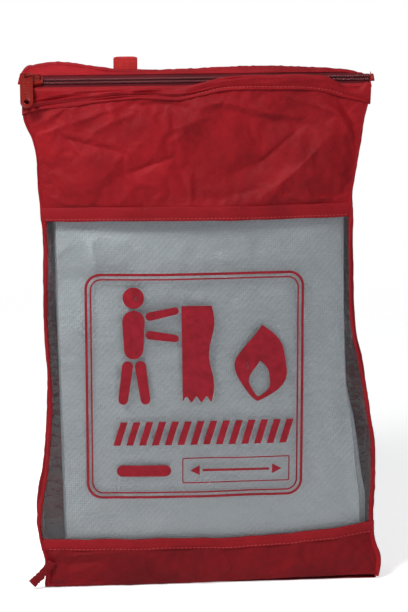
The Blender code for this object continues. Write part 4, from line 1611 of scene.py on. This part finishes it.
def stitch_row(name, line, ends, pitch, length, seed, finish=thread_finish):
    """Threads from one end to the other along line(x), which gives the y and z of the cloth's face."""
    chance = np.random.default_rng(seed)
    points = []
    for k in range(int((ends[1] - ends[0]) / pitch)):
        middle = ends[0] + (k + 0.5) * pitch
        half = 0.5 * length * chance.uniform(0.85, 1.1)
        x = np.array((middle - half, middle + half))
        start, end = np.column_stack((x, *line(x)))
        run = (end - start) / np.linalg.norm(end - start)
        side = FORWARD - run * -run[1]
        side /= np.linalg.norm(side)
        third = np.cross(run, side)
        along = run + chance.uniform(-0.12, 0.12) * third
        own = STITCH_POINTS * (half, THREAD_R, THREAD_R)
        place = 0.5 * (start + end) + side * 0.3 * THREAD_R
        points.append(place + own[:, :1] * along + own[:, 1:2] * side + own[:, 2:] * third)
    piece = thread_piece(name, np.vstack(points))
    return finished(piece, "pouch", finish, (), THREAD_SMOOTH)


def coil_stitches(name, side):
    """Threads that cross a coil and hold it to its tape."""
    own = STITCH_POINTS[:, [1, 0, 2]] * (COIL_THREAD_R, COIL_THREAD_HALF, COIL_THREAD_R)
    count = int((CHAIN_END - CHAIN_START) / COIL_THREAD_PITCH)
    spots = [CHAIN_START + (k + 0.5) * COIL_THREAD_PITCH for k in range(count)]
    points = np.vstack([own + (x, side * COIL_MIDDLE, COIL_CREST) for x in spots])
    piece = edited(thread_piece(name, in_zip(points)), face_outwards)
    # The pale coil thread gives the coils' crests their painted highlight.
    return finished(piece, "pouch", coil_thread_and_highlight, (), THREAD_SMOOTH)


def hem_face(middle, down, out):
    """The face of a hem, at a height measured from its middle."""

    def line(x):
        z = middle(x) + down
        return front_y(x, middle(x)) - out, z

    return line


def ridge_face(x):
    foot = smooth_line(RIDGE_FOOT, x)
    return front_y(x, foot) - 0.0012, foot + 0.0006


def back_face_line(x):
    return BACK_Y + 0.0017 + 0.0 * x, smooth_line(BACK_TOP, x) - 0.0042


# %% Sew
above, below = hem_face(top_hem_middle, -0.0039, 0.0014), hem_face(low_hem_middle, -0.0034, 0.0016)
stitch_row("thread_hem_above", above, (-0.127, 0.118), 0.0032, 0.0024, 201)
stitch_row("thread_hem_below", below, (-0.129, 0.141), 0.0034, 0.0025, 202)
stitch_row("thread_ridge", ridge_face, (-0.006, 0.112), 0.0030, 0.0023, 203)
stitch_row("thread_back", back_face_line, (-0.138, 0.130), 0.0032, 0.0024, 204)
tack = hem_face(top_hem_middle, 0.0046, 0.0013)
stitch_row("thread_tack", tack, (-0.0620, -0.0390), 0.0026, 0.0017, 205, pale_thread)
coil_stitches("thread_coil_front", -1)
coil_stitches("thread_coil_back", 1)
